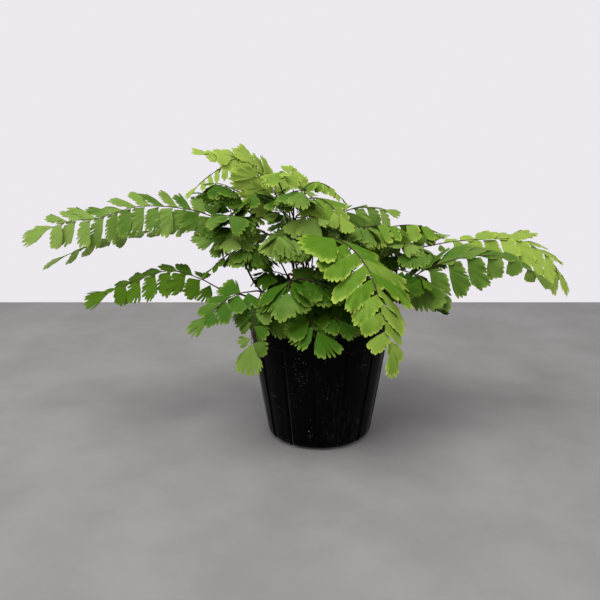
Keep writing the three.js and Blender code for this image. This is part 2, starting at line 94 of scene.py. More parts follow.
def smooth_path(corners: Sequence[np.ndarray], step: float) -> np.ndarray:
    """A centripetal Catmull-Rom curve through points of any dimension.

    Args:
        corners: The points, in order.
        step: The distance between two samples, about.

    Returns:
        The samples, the first and last point among them.
    """
    corners = np.asarray(corners, float)
    ends = [2 * corners[0] - corners[1], *corners, 2 * corners[-1] - corners[-2]]
    samples = [corners[0]]
    for p0, p1, p2, p3 in zip(ends, ends[1:], ends[2:], ends[3:]):
        spans = ((p0, p1), (p1, p2), (p2, p3))
        knots = np.cumsum([0.0, *[math.sqrt(max(np.linalg.norm(b - a), TINY)) for a, b in spans]])
        count = max(1, math.ceil(np.linalg.norm(p2 - p1) / step))
        for t in np.linspace(knots[1], knots[2], count + 1)[1:]:
            a = [_between(knots[i], knots[i + 1], t, *span) for i, span in enumerate(spans)]
            b = [_between(knots[i], knots[i + 2], t, a[i], a[i + 1]) for i in (0, 1)]
            samples.append(_between(knots[1], knots[2], t, *b))
    return np.array(samples)


def _between(start: float, end: float, t: float, a: np.ndarray, b: np.ndarray) -> np.ndarray:
    """The point at t on the line that is at a at start and at b at end."""
    return ((end - t) * a + (t - start) * b) / (end - start)


def ring(radius: np.ndarray | float, turn: np.ndarray, height: float) -> np.ndarray:
    """Points at some turns round the upright axis, all at one height."""
    x = radius * np.cos(turn)
    return np.stack([x, radius * np.sin(turn), np.full_like(x, height)], -1)


def sphere(polar: np.ndarray, columns: int) -> np.ndarray:
    """Directions in rows of equal turns, one row for each angle down from the top.

    Args:
        polar: The angle of each row, down from the top.
        columns: How many directions a row has.

    Returns:
        The directions, as a grid of rows.
    """
    turn = np.linspace(0.0, 2 * math.pi, columns, endpoint=False)[None]
    polar = polar[:, None]
    return np.dstack([np.sin(polar) * np.cos(turn), np.sin(polar) * np.sin(turn),
                      np.cos(polar) * np.ones_like(turn)])


def grid_faces(rows: int, columns: int, closed: bool = True) -> np.ndarray:
    """Corner numbers of the quads between rows of points.

    Args:
        rows: How many rows of points there are.
        columns: How many points there are in a row.
        closed: Whether each row's last point joins its first.

    Returns:
        One quad a row, anticlockwise seen from outside when rows run up and columns run
        anticlockwise round the axis.
    """
    row, column = np.meshgrid(np.arange(rows - 1), np.arange(columns - (not closed)), indexing="ij")
    here, beside = row * columns + column, row * columns + (column + 1) % columns
    return np.stack([here, beside, beside + columns, here + columns], -1).reshape(-1, 4)


def capped_faces(rows: int, columns: int) -> list[np.ndarray]:
    """Corner numbers of a closed skin: rings, then one point for each end.

    Args:
        rows: How many rings of points there are.
        columns: How many points there are in a ring.

    Returns:
        The quads between the rings, and the triangles of the first and the last ring's cap.
    """
    around = np.arange(columns)
    after = (around + 1) % columns
    last, tip = (rows - 1) * columns, np.full(columns, rows * columns)
    return [grid_faces(rows, columns), np.stack([after, around, tip], -1),
            np.stack([last + around, last + after, tip + 1], -1)]


def tube(path: np.ndarray, radii: np.ndarray, sides: int) -> np.ndarray:
    """The rings of a round closed tube along a path, then its first and its last tip.

    Args:
        path: The points of the centre line.
        radii: The radius at each of them.
        sides: How many sides the tube has.

    Returns:
        The tube's points, in the order that capped_faces joins them.
    """
    aside, start_bulge, end_bulge = (0.31, 0.9, 0.22), 0.5, 0.8
    along = unit(np.gradient(path, axis=0))
    side = unit(np.cross(along[0], aside))
    turn = np.arange(sides)[:, None] * (2 * math.pi / sides)
    rings = []
    for point, heading, radius in zip(path, along, radii):
        side = unit(side - heading * side.dot(heading))
        other = np.cross(heading, side)
        rings.append(point + radius * (np.cos(turn) * side + np.sin(turn) * other))
    start = path[0] - along[0] * radii[0] * start_bulge
    end = path[-1] + along[-1] * radii[-1] * end_bulge
    return np.concatenate([*rings, [start, end]])


@dataclass
class MeshDraft:
    """Points, faces and point values of one mesh, gathered before Blender makes it."""

    marks: tuple[str, ...] = ()
    points: list[np.ndarray] = field(default_factory=list)
    faces: list[np.ndarray] = field(default_factory=list)
    finishes: list[np.ndarray] = field(default_factory=list)
    values: dict[str, list[np.ndarray]] = field(default_factory=dict)
    count: int = 0

    def add(self, points: np.ndarray, faces: Sequence[np.ndarray], finish: int = 0,
            **values: np.ndarray | float) -> None:
        """Adds a part of the mesh.

        Args:
            points: The part's points, one a row.
            faces: Arrays of corner numbers within the part, each with equal faces.
            finish: The number of the material that the part takes.
            **values: A value, or one for each point, for any of the draft's marks.
        """
        points = np.asarray(points, float).reshape(-1, 3)
        for group in faces:
            group = np.asarray(group, int)
            self.faces.append(group + self.count)
            self.finishes.append(np.full(len(group), finish))
        for mark in self.marks:
            value = np.broadcast_to(np.asarray(values.get(mark, 0.0), float), len(points))
            self.values.setdefault(mark, []).append(value)
        self.points.append(points)
        self.count += len(points)

    def add_tube(self, path: np.ndarray, radii: np.ndarray | float, sides: int, finish: int = 0,
                 **values: np.ndarray | float) -> None:
        """Adds a round closed tube.

        Args:
            path: The points of the centre line.
            radii: The radius, or one for each of the points.
            sides: How many sides the tube has.
            finish: The number of the material that the tube takes.
            **values: A value, or one for each point of the path, for any of the draft's marks.
        """
        spread = {}
        for mark, value in values.items():
            along = np.broadcast_to(value, len(path))
            spread[mark] = np.concatenate([np.repeat(along, sides), along[[0, -1]]])
        self.add(tube(path, np.broadcast_to(radii, len(path)), sides),
                 capped_faces(len(path), sides), finish, **spread)

    def build(self, name: str, materials: Sequence[Material], crease: float = 60.0) -> Object:
        """Makes the Blender object.

        Args:
            name: The object's name.
            materials: The materials, in the order of their numbers.
            crease: The angle in degrees above which an edge is shaded sharp.

        Returns:
            The object, linked to the scene.
        """
        mesh = bpy.data.meshes.new(name)
        faces = [face for group in self.faces for face in group.tolist()]
        mesh.from_pydata(np.concatenate(self.points).tolist(), [], faces)
        for material in materials:
            mesh.materials.append(material)
        mesh.polygons.foreach_set("material_index", np.concatenate(self.finishes))
        for mark, values in self.values.items():
            layer = mesh.attributes.new(mark, "FLOAT", "POINT")
            layer.data.foreach_set("value", np.concatenate(values).astype(np.float32))
        mesh.polygons.foreach_set("use_smooth", np.ones(len(faces), bool))
        mesh.update()
        mesh.set_sharp_from_angle(angle=math.radians(crease))
        made = bpy.data.objects.new(name, mesh)
        bpy.context.scene.collection.objects.link(made)
        return made


def settle(piece: Object, node: str = "") -> Object:
    """Hangs a piece on the plant's body and hides the CAD node that it stands for.

    Args:
        piece: The finished piece.
        node: The CAD node that it stands for, if any.

    Returns:
        The piece, which rides on the plant's one body.
    """
    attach(piece, "root")
    if node:
        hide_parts(node)
    return piece


# ---------------- finishes


@dataclass
class Wiring:
    """Adds nodes to a material and joins them up."""

    material: Material

    def add(self, kind: str, options: dict[str, object] | None = None, **inputs: object) -> Node:
        """Adds a node.

        Args:
            kind: The node's type, without "ShaderNode".
            options: Values of the node's own properties.
            **inputs: Values or sockets for its inputs, by name with an underscore for each space,
                or by an "i" and their number.

        Returns:
            The node.
        """
        node = self.material.node_tree.nodes.new("ShaderNode" + kind)
        for name, value in (options or {}).items():
            setattr(node, name, value)
        for name, value in inputs.items():
            key = int(name[1:]) if name[0] == "i" and name[1:].isdigit() else name.replace("_", " ")
            self.feed(node.inputs[key], value)
        return node

    def feed(self, socket: NodeSocket, value: object) -> None:
        """Gives an input a value, or joins it to another node's output.

        Args:
            socket: The input.
            value: A number, a colour, or another node's output.
        """
        if isinstance(value, NodeSocket):
            self.material.node_tree.links.new(value, socket)
        elif isinstance(value, tuple) and len(value) == 3 and socket.type == "RGBA":
            socket.default_value = (*value, 1.0)
        else:
            socket.default_value = value

    def math(self, operation: str, *values: object) -> NodeSocket:
        """The result of a sum on numbers or sockets."""
        inputs = {f"i{number}": value for number, value in enumerate(values)}
        return self.add("Math", {"operation": operation}, **inputs).outputs[0]

    def plus(self, a: object, b: object) -> NodeSocket:
        """The sum of two numbers or sockets."""
        return self.math("ADD", a, b)

    def times(self, a: object, b: object) -> NodeSocket:
        """The product of two numbers or sockets."""
        return self.math("MULTIPLY", a, b)

    def mark(self, name: str) -> NodeSocket:
        """A value that the mesh stores at its points."""
        return self.add("Attribute", {"attribute_name": name}).outputs["Fac"]

    def place(self) -> NodeSocket:
        """The place of the shaded point, in the object's own frame."""
        return self.add("TexCoord").outputs["Object"]

    def noise(self, place: NodeSocket, scale: float, detail: float = 2.0,
              roughness: float = 0.5) -> NodeSocket:
        """Smooth noise from 0 to 1, with scale in waves a metre."""
        return self.add("TexNoise", Vector=place, Scale=scale, Detail=detail,
                        Roughness=roughness).outputs["Fac"]

    def stretch(self, place: NodeSocket, scale: Triple) -> NodeSocket:
        """The place, scaled along each axis."""
        return self.add("Mapping", Vector=place, Scale=scale).outputs[0]

    def upright(self, place: NodeSocket, share: float) -> NodeSocket:
        """The place with its height scaled by a share, which draws noise out up and down."""
        return self.stretch(place, (1.0, 1.0, share))

    def ramp(self, value: object, low: float, high: float, start: float = 0.0,
             end: float = 1.0) -> NodeSocket:
        """The value eased from start, where it is low, to end, where it is high."""
        return self.add("MapRange", {"interpolation_type": "SMOOTHSTEP"}, Value=value,
                        From_Min=low, From_Max=high, To_Min=start, To_Max=end).outputs[0]

    def mix(self, share: object, a: object, b: object, blend: str = "MIX") -> NodeSocket:
        """Two colours mixed by a share.

        Args:
            share: How much of the second colour there is.
            a: The first colour.
            b: The second colour.
            blend: How the second colour is laid over the first.

        Returns:
            The mixed colour.
        """
        node = self.add("Mix", {"data_type": "RGBA", "blend_type": blend})
        inputs = {socket.identifier: socket for socket in node.inputs}
        for name, value in (("Factor_Float", share), ("A_Color", a), ("B_Color", b)):
            self.feed(inputs[name], value)
        return {socket.identifier: socket for socket in node.outputs}["Result_Color"]

    def bump(self, height: object, strength: float, distance: float) -> NodeSocket:
        """A surface normal bent by a height, with distance in metres."""
        return self.add("Bump", Height=height, Strength=strength, Distance=distance).outputs[0]

    def finish(self, shader: Node) -> Material:
        """Joins the last shader to the material's output and returns the material.

        Args:
            shader: The last shader.

        Returns:
            The material.
        """
        output = self.add("OutputMaterial")
        self.material.node_tree.links.new(shader.outputs[0], output.inputs[0])
        return self.material


def blank(name: str) -> Wiring:
    """Wiring for a new material without nodes.

    Args:
        name: The material's name.

    Returns:
        The wiring, which holds the material.
    """
    material = bpy.data.materials.new(name)
    material.use_nodes = True
    material.node_tree.nodes.clear()
    return Wiring(material)


@dataclass(frozen=True)
class LeafFinish:
    """Thin living leaf: forked veins that fan out to a paler margin, and a satin face.

    Glow is the share of light that passes through the leaf, gloss its specular level and spots
    how far its margin is scorched. Scales are in waves a metre. The age mark lightens the green
    from deep to fresh, and low ages on leaves inside the crown are painted shade.
    """

    name: str
    deep: Colour
    fresh: Colour
    margin: Colour
    underside: Colour
    margin_share: float
    spots: float
    glow: float
    gloss: float = 0.07

    CLOUD_SCALE = 95.0
    MARGIN_SCALE = 160.0
    SATIN_SCALE = 260.0
    SPOT_SCALE = 300.0
    GRAIN_SCALE = 900.0
    VEIN_SHARE = 0.13
    UNDERSIDE_SHARE = 0.6
    SCORCHED = (0.10, 0.045, 0.015)
    THROUGH = (1.25, 1.15, 0.5)
    ROUGHNESS = (0.46, 0.62)
    GRAIN_STRENGTH = 0.35
    GRAIN_DEPTH = 0.12 * MM
    # For each order of veins, how many stand where one left the seat and the reach they start at.
    FORKS = ((1.0, -1.0), (2.0, 0.3), (4.0, 0.62))
    VEIN_WIDTHS = (0.012, 0.04)
    FORK_EASE = 0.16

    def build(self) -> Material:
        """Makes the material.

        Returns:
            The material.
        """
        w = blank(self.name)
        reach, fan, age = w.mark("reach"), w.mark("fan"), w.mark("age")
        place = w.place()
        cloud = w.noise(place, self.CLOUD_SCALE, 3.0)
        # Age runs the green from deep to fresh; ages below 0 are painted shade on leaves inside the
        # crown.
        lightness = w.plus(w.times(age, 0.75), w.times(w.math("SUBTRACT", cloud, 0.5), 0.7))
        lightness = w.plus(lightness, w.times(w.mark("tint"), 0.28))
        colour = w.mix(w.ramp(lightness, -0.15, 0.95), self.deep, self.fresh)
        veins = self._veins(w, reach, fan)
        colour = w.mix(w.times(veins, self.VEIN_SHARE), colour, self.margin)
        rim = w.times(w.ramp(reach, 0.8, 1.0), self.margin_share)
        rim = w.times(rim, w.ramp(w.noise(place, self.MARGIN_SCALE), 0.25, 0.6, 0.35, 1.0))
        colour = w.mix(rim, colour, self.margin)
        colour = w.mix(w.times(w.mark("under"), self.UNDERSIDE_SHARE), colour, self.underside)
        if self.spots > 0.0:
            spots = w.ramp(w.noise(place, self.SPOT_SCALE, 1.0), 0.74, 0.8)
            scorched = w.times(w.times(spots, self.spots), w.ramp(reach, 0.75, 0.97))
            colour = w.mix(scorched, colour, self.SCORCHED)
        glow = w.mix(1.0, colour, self.THROUGH, "MULTIPLY")
        height = w.plus(w.times(veins, -0.35), w.noise(place, self.GRAIN_SCALE))
        normal = w.bump(height, self.GRAIN_STRENGTH, self.GRAIN_DEPTH)
        face = w.add("BsdfPrincipled", Base_Color=colour, Normal=normal,
                     Roughness=w.ramp(w.noise(place, self.SATIN_SCALE), 0.2, 0.8, *self.ROUGHNESS),
                     Specular_IOR_Level=self.gloss)
        through = w.add("BsdfTranslucent", Color=glow, Normal=normal)
        return w.finish(w.add("MixShader", Fac=self.glow, i1=face.outputs[0],
                              i2=through.outputs[0]))

    def _veins(self, w: Wiring, reach: NodeSocket, fan: NodeSocket) -> NodeSocket:
        """Lines that fan out from the leaflet's seat and fork twice on the way to the margin.

        Args:
            w: The material's wiring.
            reach: How far the shaded point is on the way to the margin.
            fan: Its place on the fan of lobes.

        Returns:
            How much of a vein there is, from 0 to 1.
        """
        orders = []
        for forks, start in self.FORKS:
            turned = w.math("FRACT", w.times(fan, forks))
            off_line = w.math("ABSOLUTE", w.math("SUBTRACT", turned, 0.5))
            off_line = w.times(w.math("DIVIDE", off_line, forks), reach)
            line = w.ramp(off_line, *self.VEIN_WIDTHS, 1.0, 0.0)
            orders.append(w.times(line, w.ramp(reach, start, start + self.FORK_EASE)))
        first, second, third = orders
        return w.math("MAXIMUM", w.math("MAXIMUM", first, second), third)


@dataclass(frozen=True)
class StalkFinish:
    """Wiry polished stalk, near black at the foot and browner towards the tips."""

    name: str
    dark: Colour = (0.008, 0.0045, 0.0035)
    brown: Colour = (0.034, 0.016, 0.008)
    tip: Colour = (0.075, 0.065, 0.02)
    gloss: float = 0.15
    patch_scale: float = 120.0
    streak_scale: float = 1900.0
    streak_depth: float = 0.06 * MM

    def build(self) -> Material:
        """Makes the material.

        Returns:
            The material.
        """
        w = blank(self.name)
        place = w.place()
        age = w.plus(w.mark("age"), w.times(w.noise(place, self.patch_scale), 0.25))
        colour = w.mix(w.ramp(age, 0.15, 0.8), self.dark, self.brown)
        colour = w.mix(w.ramp(age, 0.85, 1.25), colour, self.tip)
        streak = w.noise(w.upright(place, 0.12), self.streak_scale)
        colour = w.mix(w.ramp(streak, 0.45, 0.8, 0.0, 0.35), colour, self.brown)
        return w.finish(w.add("BsdfPrincipled", Base_Color=colour,
                              Normal=w.bump(streak, 0.3, self.streak_depth),
                              Roughness=w.ramp(streak, 0.3, 0.8, 0.36, 0.5),
                              Specular_IOR_Level=self.gloss))


@dataclass(frozen=True)
class PlasticFinish:
    """Thin black moulded plastic with a satin face, fine upright drag lines and dust."""

    name: str
    black: Colour = (0.0007, 0.0009, 0.0009)
    worn: Colour = (0.014, 0.014, 0.0135)
    dust: Colour = (0.34, 0.33, 0.31)
    gloss: float = 0.03
    sheen: float = 0.2
    sheen_roughness: float = 0.25
    line_scale: float = 850.0
    patch_scale: float = 38.0
    fleck_scale: float = 780.0
    fleck_patch_scale: float = 120.0
    drag_scale: float = 420.0
    grain_depth: float = 0.25 * MM

    def build(self) -> Material:
        """Makes the material.

        Returns:
            The material.
        """
        w = blank(self.name)
        place = w.place()
        lines = w.noise(w.upright(place, 0.05), self.line_scale, 3.0, 0.6)
        patches = w.noise(place, self.patch_scale, 3.0)
        film = w.times(w.ramp(lines, 0.5, 0.8), w.ramp(patches, 0.4, 0.75))
        colour = w.mix(film, self.black, self.worn)
        flecks = w.add("TexVoronoi", Vector=place, Scale=self.fleck_scale, Randomness=1.0)
        size = w.noise(w.upright(place, 0.4), self.fleck_patch_scale, 3.0, 0.8)
        dots = w.math("SUBTRACT", w.ramp(size, 0.45, 0.8, 0.0, 0.36), flecks.outputs["Distance"])
        dots = w.ramp(dots, 0.0, 0.08)
        drag = w.noise(w.upright(place, 0.12), self.drag_scale, 4.0, 0.7)
        scuffs = w.times(w.ramp(drag, 0.58, 0.8, 0.0, 0.16), w.ramp(patches, 0.46, 0.68))
        colour = w.mix(w.math("MAXIMUM", w.times(dots, 0.5), scuffs), colour, self.dust)
        rough = w.ramp(w.plus(lines, patches), 0.7, 1.3, 0.3, 0.48)
        normal = w.bump(w.plus(lines, w.times(patches, 2.0)), 0.28, self.grain_depth)
        return w.finish(w.add("BsdfPrincipled", Base_Color=colour, Normal=normal,
                              Roughness=w.plus(rough, w.times(dots, 0.4)),
                              Specular_IOR_Level=self.gloss, Sheen_Weight=self.sheen,
                              Sheen_Roughness=self.sheen_roughness))


@dataclass(frozen=True)
class EarthFinish:
    """Moist peat and bark: near-black brown with lighter fibres."""

    name: str
    dark: Colour = (0.010, 0.0065, 0.0045)
    brown: Colour = (0.060, 0.034, 0.018)
    fibre: Colour = (0.17, 0.105, 0.055)
    gloss: float = 0.3
    clod_scale: float = 420.0
    thread_scale: float = 1300.0
    thread_stretch: Triple = (1.0, 0.22, 0.5)
    grain_depth: float = 0.6 * MM

    def build(self) -> Material:
        """Makes the material.

        Returns:
            The material.
        """
        w = blank(self.name)
        place = w.place()
        coarse = w.noise(place, self.clod_scale, 6.0, 0.65)
        tint = w.plus(coarse, w.times(w.mark("tint"), 0.22))
        colour = w.mix(w.ramp(tint, 0.38, 0.72), self.dark, self.brown)
        threads = w.noise(w.stretch(place, self.thread_stretch), self.thread_scale)
        colour = w.mix(w.ramp(threads, 0.66, 0.8, 0.0, 0.5), colour, self.fibre)
        return w.finish(w.add("BsdfPrincipled", Base_Color=colour,
                              Normal=w.bump(w.plus(coarse, threads), 0.8, self.grain_depth),
                              Roughness=w.ramp(coarse, 0.3, 0.8, 0.72, 0.95),
                              Specular_IOR_Level=self.gloss))


@dataclass(frozen=True)
class ScaleFinish:
    """Papery brown scales over a dark creeping stem, also the fuzz of an unrolling frond."""

    name: str
    dark: Colour
    light: Colour

    GLOSS = 0.3
    MOTTLE_SCALE = 700.0
    FUZZ_SCALE = 2600.0
    FUZZ_DEPTH = 0.15 * MM

    def build(self) -> Material:
        """Makes the material.

        Returns:
            The material.
        """
        w = blank(self.name)
        place = w.place()
        mottle = w.noise(place, self.MOTTLE_SCALE, 4.0, 0.6)
        share = w.plus(mottle, w.times(w.mark("tint"), 0.35))
        colour = w.mix(w.ramp(share, 0.3, 0.85), self.dark, self.light)
        fuzz = w.noise(w.upright(place, 0.3), self.FUZZ_SCALE)
        colour = w.mix(w.ramp(fuzz, 0.5, 0.8, 0.0, 0.45), colour, self.light)
        return w.finish(w.add("BsdfPrincipled", Base_Color=colour,
                              Normal=w.bump(fuzz, 0.5, self.FUZZ_DEPTH),
                              Roughness=w.ramp(mottle, 0.3, 0.8, 0.55, 0.85),
                              Specular_IOR_Level=self.GLOSS))


@dataclass(frozen=True)
class FloorFinish:
    """Plain pale floor with a faint cloudiness."""

    name: str
    pale: Colour = (0.178, 0.173, 0.169)
    shade: Colour = (0.148, 0.143, 0.139)
    gloss: float = 0.2
    cloud_scale: float = 14.0

    def build(self) -> Material:
        """Makes the material.

        Returns:
            The material.
        """
        w = blank(self.name)
        cloud = w.noise(w.place(), self.cloud_scale, 5.0, 0.6)
        colour = w.mix(w.ramp(cloud, 0.3, 0.7), self.shade, self.pale)
        return w.finish(w.add("BsdfPrincipled", Base_Color=colour,
                              Roughness=w.ramp(cloud, 0.2, 0.8, 0.75, 0.9),
                              Specular_IOR_Level=self.gloss))


class LeafTone(Enum):
    """How old a leaf branch is. The values are the record's material slots."""

    YOUNG = "leaf_young"
    MATURE = "leaf_mature"
    # The old tone's finish is old foliage and also painted shade for the inside of the crown.
    OLD = "leaf_old"


LEAF_FINISHES = {
    LeafTone.YOUNG: LeafFinish(
        "young_leaf", deep=(0.085, 0.205, 0.009), fresh=(0.30, 0.415, 0.068),
        margin=(0.42, 0.54, 0.085), underside=(0.20, 0.31, 0.05),
        margin_share=0.85, spots=0.0, glow=0.45),
    LeafTone.MATURE: LeafFinish(
        "mature_leaf", deep=(0.034, 0.110, 0.004), fresh=(0.183, 0.285, 0.054),
        margin=(0.28, 0.38, 0.060), underside=(0.11, 0.195, 0.036),
        margin_share=0.45, spots=0.8, glow=0.4),
    # The old leaf's greens are darker than an old frond's own colour: painted shade for the inside
    # of the crown, where most old branches sit.
    LeafTone.OLD: LeafFinish(
        "old_leaf", deep=(0.012, 0.052, 0.001), fresh=(0.073, 0.158, 0.009),
        margin=(0.14, 0.22, 0.020), underside=(0.06, 0.118, 0.012),
        margin_share=0.35, spots=1.0, glow=0.36, gloss=0.03),
}


# ---------------- leaflets


@dataclass(frozen=True)
class Outline:
    """The outline of a leaflet, in lengths along it and widths across it.

    The margin runs from the leaflet's lower side round its outer end to its inner side, and the
    two sides run straight back from there to the seat. The veins spring from the part of the
    lower side between the seat and the foot. Lobes are cut to a depth in the style's depths, and
    grow to it between two shares of the margin. The crest is where the leaflet's arch is highest.
    """

    margin: tuple[tuple[float, float], ...]
    lobe_depth: float
    lobes_grow: tuple[float, float]
    foot: tuple[float, float] = (0.0, 0.0)
    crest: float = 0.0


class LeafletForm(Enum):
    """The forms that a leaflet may have."""

    OBLONG = Outline(((0.80, -0.11), (0.95, 0.04), (1.02, 0.30), (1.0, 0.60), (0.92, 0.86),
                      (0.75, 1.00), (0.50, 1.02), (0.27, 0.96), (0.06, 0.79)),
                     lobe_depth=0.7, lobes_grow=(0.0, 0.16), foot=(0.36, -0.09), crest=0.5)
    FAN = Outline(((0.36, -0.28), (0.62, -0.45), (0.82, -0.42), (0.95, -0.18), (1.0, 0.08),
                   (0.94, 0.32), (0.74, 0.47), (0.40, 0.34)),
                  lobe_depth=1.35, lobes_grow=(0.0, 0.2))
    END = Outline(((0.34, -0.24), (0.66, -0.44), (0.90, -0.42), (1.0, -0.16), (0.98, 0.12),
                   (0.90, 0.38), (0.66, 0.46), (0.34, 0.26)),
                  lobe_depth=1.6, lobes_grow=(0.0, 0.2))


@dataclass(frozen=True)
class LeafletStyle:
    """How the leaflets of a leaf branch are cut and how they lie.

    Depths and waves are shares of a leaflet's length, and fullness is its width as a share of its
    room on the midrib. Pairs of values are for the branch's left and right side, but for the ages
    and growth, which run from its foot to its tip. The ages set how light the leaflets' green is,
    for age and as painted shade: below 0 they darken leaflets that sit inside the crown. Raised
    leaflets stand that many degrees above the CAD blade, forward ones lean that much towards the
    branch's tip, hanging ones lean that much straight down, and longer ones are that many times
    the blade's length. A leaflet nods when its outer side hangs lower than its inner side, in
    degrees. Growth is a leaflet's length in lengths of the blade's own leaflet there.
    """

    lobe_pitch: float = 2.85 * MM
    lobe_depth: float = 0.095
    split_chance: float = 0.24
    split_depth: float = 2.4
    curl: float = 0.22
    arch: float = 0.09
    wave: float = 0.03
    loose: float = 1.0
    end_width: float = 0.8
    fullness: tuple[float, float] = (0.94, 0.94)
    raised: tuple[float, float] = (0.0, 0.0)
    forward: tuple[float, float] = (0.0, 0.0)
    hang: tuple[float, float] = (0.0, 0.0)
    longer: tuple[float, float] = (1.1, 1.1)
    nod: tuple[float, float] = (0.0, 0.0)
    ages: tuple[float, float] = (0.0, 1.0)
    growth: tuple[float, float] = (1.0, 1.0)


@dataclass(frozen=True)
class LeafletSeat:
    """Where a leaflet sits, and the directions that it grows in."""

    origin: np.ndarray
    along: np.ndarray
    across: np.ndarray
    up: np.ndarray
    length: float
    width: float
    form: LeafletForm


@dataclass
class Leaflet:
    """One thin closed leaflet with a lobed outer margin.

    Its skins are rows of points at some reaches, from 0 at the veins' feet to 1 at the margin,
    and columns at some places on the fan, which counts the lobes round the margin.
    """

    seat: LeafletSeat
    style: LeafletStyle
    rng: Generator

    ROWS = (0.03, 0.34, 0.64, 0.87, 1.0)
    LOBED_FROM = 0.45
    THICKNESS = 0.20 * MM
    MARGIN_THINNING = 0.45
    BEND = (-0.08, 0.16)

    MARGIN_STEP = 0.35 * MM
    MARGIN_SPREAD = 0.07
    LOBE_STEPS = 5
    LOBE_COUNT = (3, 12)
    LOBE_SPREAD = 0.45
    LEAST_PITCH = 1.3 * MM
    PITCH_SHARE = 0.3
    DEPTH_RANGE = (0.3, 1.4)
    SPLIT_RANGE = (0.7, 1.2)
    # How sharply a lobe and a split side rise, and how much of the cut their shoulders lose.
    LOBE_SHAPE = (0.5, 0.16)
    SPLIT_SHAPE = (0.22, 0.08)

    CURL_RANGE = (0.4, 1.5)
    ARCH_RANGE = (-0.2, 1.4)
    WAVE_RANGE = (0.4, 1.3)
    WAVE_LOBES = (2.2, 4.5)
    WAVE_RISE = 2.5
    VEIN_RELIEF = 0.03 * MM

    def grow(self, draft: MeshDraft, age: float) -> None:
        """Adds the leaflet to a draft.

        Args:
            draft: The draft of the leaf branch.
            age: How near the leaflet is to the branch's young end, from 0 to 1; below 0 it is
                painted shade that darkens a leaflet inside the crown.
        """
        seat = self.seat
        feet, smooth, lobed, fan = self._margin()
        rows = np.array(self.ROWS)[:, None, None]
        opened = smoothstep(self.LOBED_FROM, 1.0, rows)
        flat = feet * (1 - rows) + rows * (smooth * (1 - opened) + lobed * opened)
        height = self._height(flat, rows[..., 0], fan)
        bend = self.rng.uniform(*self.BEND) * seat.length
        flat[..., 1] += bend * (flat[..., 0] / seat.length).clip(0) ** 2
        half = 0.5 * self.THICKNESS * (1.0 - self.MARGIN_THINNING * rows[..., 0])
        skins = [np.dstack([flat, height + side * half]).reshape(-1, 3) for side in (1.0, -1.0)]
        world = seat.origin + np.concatenate(skins) @ np.stack([seat.along, seat.across, seat.up])
        faces = self._faces(len(fan))
        if np.dot(np.cross(seat.along, seat.across), seat.up) < 0:
            faces = [group[:, ::-1] for group in faces]
        draft.add(world, faces,
                  reach=np.tile(np.repeat(self.ROWS, len(fan)), 2),
                  fan=np.tile(fan, 2 * len(self.ROWS)),
                  tint=self.rng.uniform(-1.0, 1.0),
                  age=age,
                  under=np.repeat((0.0, 1.0), len(skins[0])))

    def _margin(self) -> tuple[np.ndarray, np.ndarray, np.ndarray, np.ndarray]:
        """Draws the outer margin.

        Returns:
            The veins' feet, the smooth and the lobed margin, and the place on the fan of each
            point.
        """
        seat, style, rng = self.seat, self.style, self.rng
        outline, size = seat.form.value, (seat.length, seat.width)
        corners = np.array(outline.margin) * size
        corners *= 1 + self.MARGIN_SPREAD * rng.uniform(-1, 1, corners.shape)
        path = smooth_path(corners, self.MARGIN_STEP)
        run = np.concatenate([[0.0], np.cumsum(np.linalg.norm(np.diff(path, axis=0), axis=1))])
        pitch = min(style.lobe_pitch, max(self.LEAST_PITCH, seat.length * self.PITCH_SHARE))
        lobes = int(np.clip(round(run[-1] / pitch), *self.LOBE_COUNT))
        marks = np.cumsum(1 + self.LOBE_SPREAD * rng.uniform(-1, 1, lobes))
        marks = np.concatenate([[0.0], marks]) * (run[-1] / marks[-1])
        phase = np.arange(self.LOBE_STEPS) / self.LOBE_STEPS
        fan = np.append((np.arange(lobes)[:, None] + phase).ravel(), lobes)
        places = np.interp(fan, np.arange(lobes + 1), marks)
        smooth = np.stack([np.interp(places, run, path[:, i]) for i in (0, 1)], -1)
        feet = np.array(outline.foot) * size * (1 - (places / run[-1]) ** 2)[:, None]
        bite = self._bite(fan, marks / run[-1])
        return feet, smooth, smooth - unit(smooth - feet) * bite[:, None], fan

    def _bite(self, fan: np.ndarray, marks: np.ndarray) -> np.ndarray:
        """How far the margin is cut back at each place on the fan.

        Args:
            fan: The places, in lobes from the lower side.
            marks: Where each lobe starts and the last ends, as shares of the margin.

        Returns:
            The depth of the cut at each place, in metres.
        """
        style, rng, outline = self.style, self.rng, self.seat.form.value
        lobes = len(marks) - 1
        depth = style.lobe_depth * self.seat.length * rng.uniform(*self.DEPTH_RANGE, lobes + 1)
        depth *= outline.lobe_depth * smoothstep(*outline.lobes_grow, marks)
        splits = rng.random(lobes + 1) < style.split_chance
        depth[splits] *= style.split_depth * rng.uniform(*self.SPLIT_RANGE)
        depth[[0, -1]] = 0.0
        lobe = np.minimum(fan.astype(int), lobes - 1)
        inside = fan - lobe
        notch = np.where(inside < 0.5, lobe, lobe + 1)
        near, split = depth[notch], splits[notch]
        shapes = zip(self.SPLIT_SHAPE, self.LOBE_SHAPE)
        power, shoulder = (np.where(split, *pair) for pair in shapes)
        bite = near * (1 - np.sin(np.pi * inside).clip(0) ** power)
        return bite + shoulder * near * (np.cos(4 * np.pi * inside) < 0)

